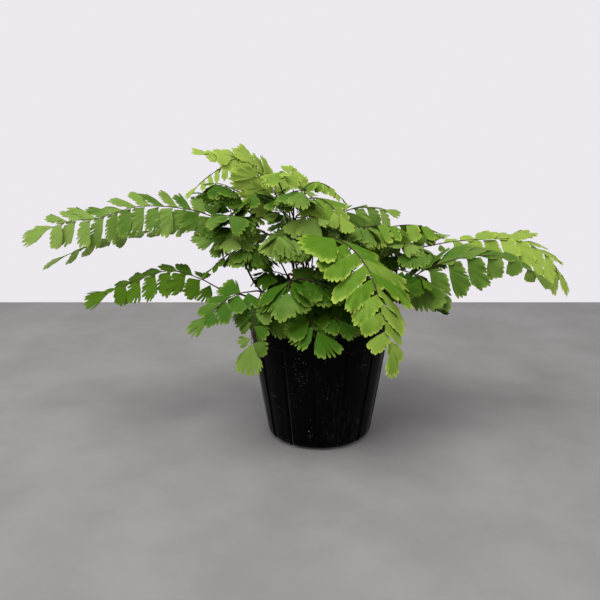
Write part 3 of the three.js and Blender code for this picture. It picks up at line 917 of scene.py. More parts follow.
    def _height(self, flat: np.ndarray, reach: np.ndarray, fan: np.ndarray) -> np.ndarray:
        """Bends the blade: a curl to the tip, an arch and soft waves.

        Args:
            flat: The blade's points on its plane, as a grid of rows.
            reach: Each row's reach.
            fan: Each column's place on the fan.

        Returns:
            How far each point stands above the plane.
        """
        seat, style, rng = self.seat, self.style, self.rng
        u = flat[..., 0] / seat.length
        v = flat[..., 1] / seat.width - seat.form.value.crest
        curl = style.curl * rng.uniform(*self.CURL_RANGE) * seat.length * 0.5
        arch = style.arch * rng.uniform(*self.ARCH_RANGE) * seat.width * 2.0
        height = -curl * u ** 2 - arch * v ** 2 * np.sqrt(np.maximum(u, 0))
        swell = np.sin(2 * np.pi * (fan / rng.uniform(*self.WAVE_LOBES) + rng.random()))
        wave = style.wave * seat.length * rng.uniform(*self.WAVE_RANGE)
        height += wave * reach ** self.WAVE_RISE * swell
        height += self.VEIN_RELIEF * reach * np.cos(2 * np.pi * (fan - 0.5))
        return height

    def _faces(self, columns: int) -> list[np.ndarray]:
        """Joins the points of the upper skin, the lower skin and the edge between them.

        Args:
            columns: How many points a row has.

        Returns:
            Corner numbers of the faces, a group for each part.
        """
        rows = len(self.ROWS)
        count = rows * columns
        lower = grid_faces(rows, columns, closed=False)
        first = np.arange(columns)
        loop = np.concatenate([
            first,
            np.arange(1, rows) * columns + columns - 1,
            (rows - 1) * columns + first[-2::-1],
            np.arange(rows - 2, 0, -1) * columns,
        ])
        after = np.roll(loop, -1)
        edge = np.stack([loop, after, after + count, loop + count], -1)
        return [lower[:, ::-1], lower + count, edge]


# ---------------- leaf branches


@dataclass(frozen=True)
class Corner:
    """The tip of one leaflet and its place on the midrib."""

    middle: np.ndarray
    tip: np.ndarray


@dataclass(frozen=True)
class Blade:
    """A leaf branch as its midrib's start, its leaflets in order, and its far end."""

    base: np.ndarray
    corners: tuple[Corner, ...]
    end: np.ndarray

    def line(self) -> np.ndarray:
        """The points of the midrib, without the far end."""
        return np.array([self.base, *[corner.middle for corner in self.corners]])

    def headings(self) -> np.ndarray:
        """The midrib's direction at each of its points and at the far end."""
        return unit(np.gradient(np.array([*self.line(), self.end]), axis=0))


@dataclass(frozen=True)
class BladeReader:
    """Reads a CAD blade ring by ring, from the end that its stalk carries."""

    node: str
    stalk_node: str

    WELD = 1e-6
    RING = 4

    def read(self) -> Blade:
        """Follows the blade's edges from the stalk to its far end.

        Returns:
            The blade that the CAD node holds.
        """
        points, edges = self._welded(self.node)
        stalk, _ = self._welded(self.stalk_node)
        gaps = np.linalg.norm(points[:, None] - stalk[None], axis=2).min(axis=1)
        level = np.full(len(points), -1)
        level[np.argsort(gaps)[:self.RING]] = 0
        step = 0
        while (level < 0).any():
            a, b = edges[:, 0], edges[:, 1]
            found = np.concatenate([b[(level[a] == step) & (level[b] < 0)],
                                    a[(level[b] == step) & (level[a] < 0)]])
            if not len(found):
                raise ValueError(f"{self.node}: the blade isn't one piece")
            step += 1
            level[found] = step
        corners = tuple(self._corner(points[level == number]) for number in range(1, step))
        return Blade(points[level == 0].mean(axis=0), corners, points[level == step].mean(axis=0))

    def _welded(self, node: str) -> tuple[np.ndarray, np.ndarray]:
        """Joins the points of a CAD node that coincide.

        Args:
            node: The node's name.

        Returns:
            The node's points, and the pairs of points that its edges join.
        """
        mesh = frame["nodes"][node].data
        places = np.array([v.co for v in mesh.vertices], float)
        _, first, joined = np.unique(np.round(places / self.WELD).astype(int), axis=0,
                                     return_index=True, return_inverse=True)
        joined = joined.reshape(-1)
        pairs = [(joined[a], joined[b]) for a, b in (edge.vertices for edge in mesh.edges)]
        return places[first], np.array([pair for pair in pairs if pair[0] != pair[1]])

    def _corner(self, points: np.ndarray) -> Corner:
        """Finds the leaflet's tip on one ring of the blade.

        Args:
            points: The ring's points.

        Returns:
            The corner that the ring holds.
        """
        if len(points) != self.RING:
            raise ValueError(f"{self.node}: a ring of the blade has {len(points)} points")
        gaps = np.linalg.norm(points[:, None] - points[None], axis=2) + np.eye(self.RING)
        upper, lower = np.unravel_index(np.argmin(gaps), gaps.shape)
        middle = (points[upper] + points[lower]) / 2
        edges = [point for number, point in enumerate(points) if number not in (upper, lower)]
        return Corner(middle, max(edges, key=lambda point: np.linalg.norm(point - middle)))


@dataclass
class LeafBranch:
    """A wiry midrib with leaflets set alternately to its left and right.

    A branch of few leaflets has a broad fan on both sides at every step, as at a frond's foot.
    """

    blade: Blade
    style: LeafletStyle
    rng: Generator

    MARKS = ("reach", "fan", "tint", "age", "under")
    WOOD = 1
    MIDRIB_RADII = (0.42 * MM, 0.16 * MM)
    MIDRIB_SIDES = 8
    MIDRIB_STEP = 1.4 * MM
    MIDRIB_LEAD = 0.9 * MM
    STALKLET_RADIUS = 0.13 * MM
    STALKLET_SIDES = 5
    STALKLET = 0.4 * MM
    STALKLET_IN_LEAF = 0.06
    SEAT_GAP = 0.9

    FEW = 5
    BASAL = 2
    ROOM = (1.16, 0.32)
    GROWTH_SPAN = (0.2, 0.8)
    LENGTH_SPREAD = 0.07
    LIFT_SPREAD = 7
    LEAN_SPREAD = 0.10
    ROLL_SPREAD = 0.16
    NOD_FADE = 1.3
    WIDTH_SPREAD = (0.93, 1.07)
    WIDTH_RANGE = (0.3, 0.9)
    FAN_WIDTH = (0.9, 1.12)
    FAN_SHIFT = 0.4
    INNER_SHARE = 0.3
    END_SHIFT = 0.15
    STEEP = 0.9

    def grow(self, draft: MeshDraft) -> None:
        """Adds the midrib and the leaflets.

        Args:
            draft: A draft with the class's marks.
        """
        seats = self._seats()
        line = self.blade.line()
        at_foot, at_tip = self.style.ages
        for number, seat in enumerate(seats):
            share = (number + 0.5) / len(seats)
            # Ages below 0 are painted shade that darkens leaflets inside the crown.
            age = at_foot + (at_tip - at_foot) * share
            Leaflet(seat, self.style, self.rng).grow(draft, age)
            self._add_stalklet(draft, line, seat, share)
        self._add_midrib(draft, line, seats[-1].origin)

    def _seats(self) -> list[LeafletSeat]:
        """Finds where each leaflet sits.

        Returns:
            The seats, the end leaflet's last.
        """
        blade, headings = self.blade, self.blade.headings()
        spacing = np.linalg.norm(np.diff(blade.line(), axis=0), axis=1)
        step = float(np.median(spacing[1:])) if len(spacing) > 1 else float(spacing[0])
        few = len(blade.corners) <= self.FEW
        outs = [corner.tip - corner.middle for corner in blade.corners]
        seats = []
        for number, corner in enumerate(blade.corners):
            heading = headings[number + 1]
            form = LeafletForm.FAN if few or number < self.BASAL else LeafletForm.OBLONG
            place = number / len(outs)
            room = step * (self.ROOM[0] - self.ROOM[1] * number / len(outs))
            outs[number] = outs[number] * np.interp(place, self.GROWTH_SPAN, self.style.growth)
            seats.append(self._seat(corner.middle, outs[number], heading, room, form))
            if few and len(outs) > 1:
                beside = [outs[i] for i in (number - 1, number + 1) if 0 <= i < len(outs)]
                other = np.mean(beside, axis=0)
                shift = heading * step * self.rng.uniform(-self.FAN_SHIFT, self.FAN_SHIFT)
                seats.append(self._seat(corner.middle + shift, other, heading, room, form))
        seats.append(self._end_seat(headings[-1], seats, few))
        return seats

    def _stray(self, spread: float) -> float:
        """A random value up to the spread either way, more for a looser branch."""
        return spread * self.style.loose * self.rng.uniform(-1, 1)

    def _seat(self, middle: np.ndarray, outward: np.ndarray, heading: np.ndarray, room: float,
              form: LeafletForm) -> LeafletSeat:
        """The seat of one leaflet at the side of the midrib.

        Args:
            middle: The leaflet's place on the midrib.
            outward: The way from there to its tip.
            heading: The midrib's direction.
            room: Half the length of midrib that the leaflet may take up.
            form: The leaflet's form.

        Returns:
            The seat, with the leaflet's upper face away from the ground.
        """
        style, rng = self.style, self.rng
        right = unit(np.cross(heading, (0, 0, 1)))
        side = int(outward.dot(right) > 0)
        turn = 1 if side else -1
        length = float(np.linalg.norm(outward)) * style.longer[side]
        length *= 1 + self.LENGTH_SPREAD * rng.uniform(-1, 1)
        level = unit(outward - heading * heading.dot(unit(outward)) * np.linalg.norm(outward))
        above = np.cross(level, heading) * turn
        lift = math.radians(style.raised[side] + self._stray(self.LIFT_SPREAD))
        shaft = unit(outward).dot(heading)
        flat = math.sqrt(max(0.0, 1 - shaft ** 2))
        lean = style.forward[side] + self._stray(self.LEAN_SPREAD)
        along = unit(heading * (shaft + lean) + flat * (level * math.cos(lift)
                                                        + above * math.sin(lift)))
        along = unit(along - np.array((0.0, 0.0, style.hang[side])))
        across = unit(heading - along * heading.dot(along))
        up = np.cross(along, across) * turn
        roll = self._stray(self.ROLL_SPREAD)
        roll -= math.radians(style.nod[side]) * max(0.0, 1 + self.NOD_FADE * min(0.0, heading[2]))
        across, up = (across * math.cos(roll) + up * math.sin(roll),
                      up * math.cos(roll) - across * math.sin(roll))
        if form is LeafletForm.OBLONG:
            width = 2 * room * style.fullness[side] * abs(float(across.dot(heading)))
            width *= rng.uniform(*self.WIDTH_SPREAD)
            width = float(np.clip(width, *(share * length for share in self.WIDTH_RANGE)))
            origin = middle - heading * width * self.INNER_SHARE
        else:
            width = length * rng.uniform(*self.FAN_WIDTH)
            origin = middle
        if up.dot(np.cross(right, heading)) < 0 and abs(up[2]) > self.STEEP:
            up = -up
        origin = origin + along * (self.MIDRIB_RADII[0] + self.STALKLET) * self.SEAT_GAP
        return LeafletSeat(origin, along, across, up, length, width, form)

    def _end_seat(self, heading: np.ndarray, seats: list[LeafletSeat], few: bool) -> LeafletSeat:
        """Seats the leaflet that ends the branch, in the plane of the last two.

        Args:
            heading: The midrib's direction at its end.
            seats: The seats of the other leaflets.
            few: Whether the branch has few leaflets.

        Returns:
            The end leaflet's seat.
        """
        last, end = self.blade.corners[-1].middle, self.blade.end
        origin = last + heading * self.END_SHIFT * np.linalg.norm(end - last)
        length = float(np.linalg.norm(end - origin))
        right = unit(np.cross(heading, (0, 0, 1)))
        ways = [seat.along * np.sign(seat.along.dot(right)) for seat in seats[-2:]]
        across = np.sum(ways, axis=0)
        across = unit(across - heading * heading.dot(across))
        form = LeafletForm.FAN if few else LeafletForm.END
        width = length * (1.0 if few else self.style.end_width)
        return LeafletSeat(origin, heading, across, np.cross(across, heading), length, width, form)

    def _add_stalklet(self, draft: MeshDraft, line: np.ndarray, seat: LeafletSeat,
                      share: float) -> None:
        """Adds the hair-thin stalk that joins a leaflet to the midrib.

        Args:
            draft: The draft that it goes into.
            line: The points of the midrib.
            seat: The leaflet's seat.
            share: How far along the branch the leaflet is, from 0 to 1.
        """
        near, next_near = np.argsort(np.linalg.norm(line - seat.origin, axis=1))[:2]
        run = line[next_near] - line[near]
        along = np.clip(run.dot(seat.origin - line[near]) / max(run.dot(run), TINY), -0.2, 1.2)
        foot = line[near] + run * along
        head = seat.origin + seat.along * self.STALKLET_IN_LEAF * seat.length
        draft.add_tube(np.array([foot, (foot + seat.origin) / 2, head]), self.STALKLET_RADIUS,
                       self.STALKLET_SIDES, self.WOOD, age=0.35 + 0.5 * share)

    def _add_midrib(self, draft: MeshDraft, line: np.ndarray, end: np.ndarray) -> None:
        """Adds the midrib, from inside the arm that carries it to the end leaflet.

        Args:
            draft: The draft that it goes into.
            line: The points of the midrib.
            end: The end leaflet's place.
        """
        start = line[0] - self.blade.headings()[0] * self.MIDRIB_LEAD
        path = smooth_path([start, *line, end], self.MIDRIB_STEP)
        share = np.linspace(0.0, 1.0, len(path))
        thick, thin = self.MIDRIB_RADII
        draft.add_tube(path, thick + (thin - thick) * share, self.MIDRIB_SIDES, self.WOOD,
                       age=0.3 + 0.8 * share)


@dataclass
class Pinna:
    """A frond's leaf branch, grown on its CAD blade."""

    node: str
    stalk_node: str
    style: LeafletStyle

    def build(self, leaf: Material, wood: Material, tone: LeafTone) -> Object:
        """Grows the branch.

        Args:
            leaf: The material of the leaflets.
            wood: The material of the midrib.
            tone: The branch's age; not used.

        Returns:
            The finished piece.
        """
        blade = BladeReader(self.node, self.stalk_node).read()
        draft = MeshDraft(LeafBranch.MARKS)
        LeafBranch(blade, self.style, seeded(self.node)).grow(draft)
        return settle(draft.build(self.node, (leaf, wood)), self.node)


# ---------------- stalks and rootstock


@dataclass
class Rootstock:
    """The short creeping stem that the stalks rise from, clad in papery scales."""

    node: str = "rootstock"
    rows: int = 26
    columns: int = 48
    knobs: int = 26
    knob_sharpness: float = 14
    knob_height: float = 0.07
    stem_share: float = 0.88
    scales: int = 150
    scale_length: tuple[float, float] = (1.6 * MM, 3.4 * MM)
    scale_width: tuple[float, float] = (0.3 * MM, 0.6 * MM)
    scale_lift: float = 0.25 * MM
    scale_thickness: float = 0.05 * MM
    scale_depth: float = 0.94

    # A scale's width at some ways along it, and its section as ways across and up.
    SCALE_WIDTHS = ((0.0, 0.6), (0.35, 1.0), (0.7, 0.6), (1.0, 0.05))
    SCALE_SECTION = ((-1, 0), (0, 2), (1, 0), (0, -1))

    def foot(self, root: Sequence[float], sunk: float = 0.0) -> np.ndarray:
        """Finds a stalk's foot on the stem's upper side.

        Args:
            root: Its place (x, y) in millimetres.
            sunk: How deep it is under the surface.

        Returns:
            The foot.
        """
        x, y = (value * MM for value in root[:2])
        low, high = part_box(self.node)
        centre, half = (low + high) / 2, (high - low) / 2
        over = ((x - centre.x) / half.x) ** 2 + ((y - centre.y) / half.y) ** 2
        return np.array((x, y, centre.z + half.z * math.sqrt(max(0.0, 1.0 - over)) - sunk))

    def build(self, finish: Material) -> Object:
        """Makes the knobbly stem and its scales.

        Args:
            finish: The material of the scales.

        Returns:
            The finished piece.
        """
        rng = seeded(self.node)
        draft = MeshDraft(("tint",))
        ball = sphere(np.linspace(math.pi, 0.0, self.rows), self.columns)
        knobs = unit(rng.normal(size=(self.knobs, 3)))
        swell = np.exp(self.knob_sharpness * (ball @ knobs.T - 1)).sum(axis=-1)
        skin = self._on_stem(ball, self.stem_share + self.knob_height * np.clip(swell, 0, 1.7))
        draft.add(skin, [grid_faces(self.rows, self.columns)], tint=-0.6)
        for _ in range(self.scales):
            self._add_scale(draft, rng)
        return settle(draft.build(self.node, (finish,), crease=50.0), self.node)

    def _on_stem(self, directions: np.ndarray, share: np.ndarray | float) -> np.ndarray:
        """Points of the stem's ellipsoid in some directions, at a share of its size."""
        low, high = (np.array(corner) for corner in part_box(self.node))
        return (low + high) / 2 + directions * (high - low) / 2 * np.asarray(share)[..., None]

    def _add_scale(self, draft: MeshDraft, rng: Generator) -> None:
        """Adds one narrow papery scale that lies along the stem.

        Args:
            draft: The draft that it goes into.
            rng: The piece's random generator.
        """
        heading = unit(rng.normal(size=3) * (1.0, 1.0, 0.6) + (0, 0, 0.5))
        foot = self._on_stem(heading, self.scale_depth)
        out = unit(heading / (1.0, 0.4, 0.3))
        along = unit(np.cross(out, rng.normal(size=3)) + 0.25 * out)
        side = unit(np.cross(out, along))
        long, wide = rng.uniform(*self.scale_length), rng.uniform(*self.scale_width)
        rows = []
        for share, width in self.SCALE_WIDTHS:
            middle = foot + along * long * share + out * self.scale_lift * math.sin(3 * share)
            rows.append([middle + side * wide * width * way + out * self.scale_thickness * lift
                         for way, lift in self.SCALE_SECTION])
        faces = [grid_faces(4, 4)[:, ::-1], [[0, 1, 2, 3]], [[15, 14, 13, 12]]]
        draft.add(np.array(rows), faces, tint=rng.uniform(-0.3, 1.0))


@dataclass(frozen=True)
class Arm:
    """A stalk's arm to one leaf branch, in millimetres: the stalk point that it leaves, counted
    from the foot, and the points that it passes on the way."""

    leaves: int
    passes: tuple[Triple, ...] = ()


@dataclass(frozen=True)
class StalkRoute:
    """The course of a frond's stalk, in millimetres: its root on the rootstock, the points that it
    passes, and any arm that doesn't start at its top."""

    root: tuple[float, float]
    points: tuple[Triple, ...]
    arms: dict[str, Arm] = field(default_factory=dict)


STALK_ROUTES = {
    "left": StalkRoute((-14, 3), ((-20, 4, 88), (-32, 5, 106), (-45, 7, 122), (-54, 9, 134))),
    "left_thin": StalkRoute((-20, 0), ((-30, -4, 88), (-41, -7, 101), (-47, -5, 112),
                                       (-51, -2, 119))),
    "top": StalkRoute((-9, 3), ((-11, 3, 92), (-15, 4, 110), (-19, 5, 128)),
                      {"arching": Arm(2, ((-21, 6, 139),)),
                       "drooping": Arm(2, ((-20, 16, 145), (-28, 26, 163)))}),
    "top_back": StalkRoute((-15, 6), ((-16, 7, 92), (-17, 9, 112), (-17, 11, 132), (-17, 14, 148)),
                           {"left_inner": Arm(2), "right_inner": Arm(2)}),
    "front_right": StalkRoute((-5, -1), ((-8, -6, 95), (-9, -10, 112), (-5, -13, 126))),
    "back_right": StalkRoute((2, 5), ((3, 7, 92), (3, 10, 112), (5, 12, 132))),
    "right": StalkRoute((7, 3), ((20, 8, 92), (38, 12, 106), (56, 16, 116), (65, 18, 120))),
    "right_low": StalkRoute((4, -1), ((16, -3, 86), (32, -6, 95), (46, -8, 98))),
    "left_low": StalkRoute((-23, 2), ((-34, 2, 84), (-50, 1, 92), (-62, 0, 95))),
    "front_left": StalkRoute((-17, -2), ((-25, -11, 88), (-31, -21, 97), (-36, -27, 100))),
    "front": StalkRoute((-10, -3), ((-12, -13, 86), (-15, -23, 100), (-17, -28, 106)),
                        {"low": Arm(0, ((-11, -23, 90),)), "low_right": Arm(0, ((-7, -21, 90),))}),
    "back_left": StalkRoute((-12, 7), ((-15, 14, 94), (-19, 23, 112), (-26, 33, 124))),
    "back": StalkRoute((-2, 7), ((4, 17, 92), (12, 28, 108), (18, 37, 119)), {"low": Arm(0)}),
    "inner": StalkRoute((8, 1), ((12, 0, 82), (15, -1, 90))),
}


@dataclass
class Stalk:
    """A frond's wiry stalk, from the rootstock to its fork, with an arm to each leaf branch."""

    name: str
    route: StalkRoute
    branches: tuple[str, ...]
    rootstock: Rootstock

    FOOT_RADIUS = 0.95 * MM
    RADIUS = 0.72 * MM
    TOP_RADIUS = 0.6 * MM
    FOOT_FADE = 14
    ARM_RADII = (0.55 * MM, 0.46 * MM)
    ARM_LEAD = 2.2 * MM
    ARM_OVERLAP = 0.4 * MM
    SUNK = 1.2 * MM
    RISE = 5 * MM
    STEP = 1.5 * MM
    ARM_STEP = 1.2 * MM
    SIDES = 12

    def build(self, finish: Material) -> Object:
        """Makes the stalk with its arms.

        Args:
            finish: The material of the stalks.

        Returns:
            The finished piece.
        """
        draft = MeshDraft(("age",))
        foot = self.rootstock.foot(self.route.root)
        points = np.array(self.route.points) * MM
        path = smooth_path([foot - (0, 0, self.SUNK), foot + (0, 0, self.RISE), *points], self.STEP)
        share = np.linspace(0, 1, len(path))
        radii = self.RADIUS + (self.TOP_RADIUS - self.RADIUS) * share
        radii += (self.FOOT_RADIUS - self.RADIUS) * np.exp(-share * self.FOOT_FADE)
        draft.add_tube(path, radii, self.SIDES, age=np.linspace(0.0, 0.25, len(path)))
        for branch in self.branches:
            arm = self.route.arms.get(branch, Arm(len(points) - 1))
            self._add_arm(draft, points[arm.leaves], arm, branch)
        name = f"{self.name}_stalk"
        return settle(draft.build(name, (finish,)), name)

    def _add_arm(self, draft: MeshDraft, start: np.ndarray, arm: Arm, branch: str) -> None:
        """Adds the arm that runs into a leaf branch's midrib.

        Args:
            draft: The draft that it goes into.
            start: Where it leaves the stalk.
            arm: Its course.
            branch: The leaf branch that it carries.
        """
        blade = BladeReader(f"{self.name}_pinna_{branch}", f"{self.name}_stalk").read()
        heading = unit(blade.corners[0].middle - blade.base)
        passes = [np.array(point) * MM for point in arm.passes]
        lead, end = blade.base - heading * self.ARM_LEAD, blade.base + heading * self.ARM_OVERLAP
        path = smooth_path([start, *passes, lead, end], self.ARM_STEP)
        thick, thin = self.ARM_RADII
        draft.add_tube(path, thick + (thin - thick) * np.linspace(0, 1, len(path)), self.SIDES,
                       age=np.linspace(0.2, 0.42, len(path)))


@dataclass
class Crozier:
    """A young frond still rolled up on its own stalk, whose root and bends are in millimetres."""

    node: str = "crozier"
    radius: float = 0.5 * MM
    sides: int = 12
    step: float = 0.6 * MM
    root: tuple[float, float] = (-20.0, 2.5)
    bends: tuple[Triple, ...] = ((-21.0, 2.0, 88.0), (-21.0, 1.0, 100.0))
    curl_points: int = 24
    curl_radius: float = 2.2 * MM
    curl_turns: float = 1.4
    curl_tightening: float = 0.45
    curl_rise: float = 4.0 * MM
    curl_shift: float = -0.6 * MM
    hairs: int = 70
    hair_length: tuple[float, float] = (0.35 * MM, 0.8 * MM)
    hair_radii: Triple = (0.11 * MM, 0.09 * MM, 0.03 * MM)

    def build(self, rootstock: Rootstock, finish: Material) -> Object:
        """Makes the stalk and the curl, with hairs of fine scales.

        Args:
            rootstock: The stem that it stands on.
            finish: The material of its fuzz.

        Returns:
            The finished piece.
        """
        corners = [rootstock.foot(self.root), *np.array(self.bends) * MM]
        top = corners[-1]
        for share in np.linspace(0, 1, self.curl_points)[1:]:
            turn = share * self.curl_turns * 2 * math.pi
            radius = self.curl_radius * (1 - self.curl_tightening * share)
            corners.append(top + (self.curl_radius - radius * math.cos(turn),
                                  self.curl_shift * share,
                                  self.curl_rise + radius * math.sin(turn)))
        path = smooth_path(corners, self.step)
        share = np.linspace(0, 1, len(path))
        radii = self.radius * (1.0 + 0.5 * smoothstep(0.55, 0.8, share) - 0.7 * share ** 6)
        draft = MeshDraft(("tint",))
        draft.add_tube(path, radii, self.sides, tint=share - 0.3)
        rng = seeded(self.node)
        for place in rng.uniform(0.35, 1.0, self.hairs):
            self._add_hair(draft, path, radii, place, rng)
        return settle(draft.build(self.node, (finish,)), self.node)

    def _add_hair(self, draft: MeshDraft, path: np.ndarray, radii: np.ndarray, share: float,
                  rng: Generator) -> None:
        """Adds one fine scale that stands off the curl.

        Args:
            draft: The draft that it goes into.
            path: The points of the curl.
            radii: The curl's radius at each.
            share: How far along the curl the scale is, from 0 to 1.
            rng: The piece's random generator.
        """
        place = int(share * (len(path) - 2))
        along = unit(path[place + 1] - path[place])
        out = unit(np.cross(along, rng.normal(size=3)))
        start = path[place] + out * radii[place] * 0.7
        reach = rng.uniform(*self.hair_length)
        line = np.array([start, start + (out + 0.8 * along) * reach * 0.5,
                         start + (out * 0.7 + 1.6 * along) * reach * 0.8])
        draft.add_tube(line, np.array(self.hair_radii), 4, tint=rng.uniform(0.2, 1.0))


@dataclass(frozen=True)
class SmallFrond:
    """A low frond of the undergrowth: a thin stalk and one short leaf branch, in millimetres.

    Its root is a place (x, y) on the rootstock, or a point (x, y, z) where it leaves a fork.
    """

    name: str
    root: tuple[float, ...]
    top: Triple
    end: Triple
    tone: LeafTone
    leaflet: float = 13.0
    leaflets: int = 4
    # The default ages are low: painted shade on the undergrowth inside the crown.
    ages: tuple[float, float] = (-0.5, 0.15)

    LENGTHS = (0.85, 1.1)
    TAPER = 0.25
    SPAN = (0.12, 0.62)
    LEAN = 0.35
    BOW = 0.10
    SLOPE = 26.0
    SIDE_SLOPE = 22.0
    NOD = 42.0
    SUNK = 1.0 * MM
    RISE_SHARE = 0.45
    LEAD = 2.5 * MM
    STEP = 1.6 * MM
    BRANCH_STEP = 0.4 * MM
    RADII = (0.62 * MM, 0.42 * MM)
    SIDES = 8

    def build(self, rootstock: Rootstock, leaf: Material, wood: Material) -> Object:
        """Makes the frond.

        Args:
            rootstock: The stem that it may be rooted on.
            leaf: The material of the leaflets.
            wood: The material of the stalk and the midrib.

        Returns:
            The finished piece.
        """
        rng = seeded(self.name)
        draft = MeshDraft(LeafBranch.MARKS)
        blade = self._blade(rng)
        nod = self.NOD * (1 - self._sideways())
        style = LeafletStyle(loose=1.6, longer=(1.05, 1.05), ages=self.ages, split_chance=0.3,
                             nod=(nod, nod))
        LeafBranch(blade, style, rng).grow(draft)
        if len(self.root) > 2:
            foot = np.array(self.root) * MM
        else:
            foot = rootstock.foot(self.root, self.SUNK)
        rise = foot + (0, 0, self.RISE_SHARE * (blade.base[2] - foot[2]))
        lead = blade.base - blade.headings()[0] * self.LEAD
        path = smooth_path([foot, rise, lead, blade.base], self.STEP)
        share = np.linspace(0, 1, len(path))
        thick, thin = self.RADII
        draft.add_tube(path, thick + (thin - thick) * share, self.SIDES, LeafBranch.WOOD,
                       age=share * 0.4)
        return settle(draft.build(self.name, (leaf, wood)))

    def _sideways(self) -> float:
        """How far the branch runs sideways, from 0 to 1, which lets its leaflets hang steeper."""
        run = np.array(self.end[:2]) - np.array(self.top[:2])
        return float(run[0] ** 2 / max(run.dot(run), TINY))

    def _blade(self, rng: Generator) -> Blade:
        """Bows the midrib a little upwards, and sets leaflets on both sides in turn.

        Args:
            rng: The frond's random generator.

        Returns:
            The leaf branch.
        """
        top, end = np.array(self.top) * MM, np.array(self.end) * MM
        middle = (top + end) / 2 + (0, 0, self.BOW * float(np.linalg.norm(end - top)))
        path = smooth_path([top, middle, end], self.BRANCH_STEP)
        places = np.linspace(*self.SPAN, self.leaflets) * (len(path) - 1)
        drop = math.radians(self.SLOPE + self.SIDE_SLOPE * self._sideways())
        down = np.array((0, 0, -math.sin(drop)))
        corners = []
        for number, place in enumerate(places.astype(int)):
            heading = unit(path[place + 1] - path[place])
            side = unit(np.cross(heading, (0, 0, 1))) * (1 if number % 2 else -1)
            way = unit(side * math.cos(drop) + down)
            way = unit(way + self.LEAN * heading)
            length = self.leaflet * MM * rng.uniform(*self.LENGTHS)
            length *= 1 - self.TAPER * number / self.leaflets
            corners.append(Corner(path[place], path[place] + way * length))
        return Blade(top, tuple(corners), end)


# ---------------- pot and potting mix


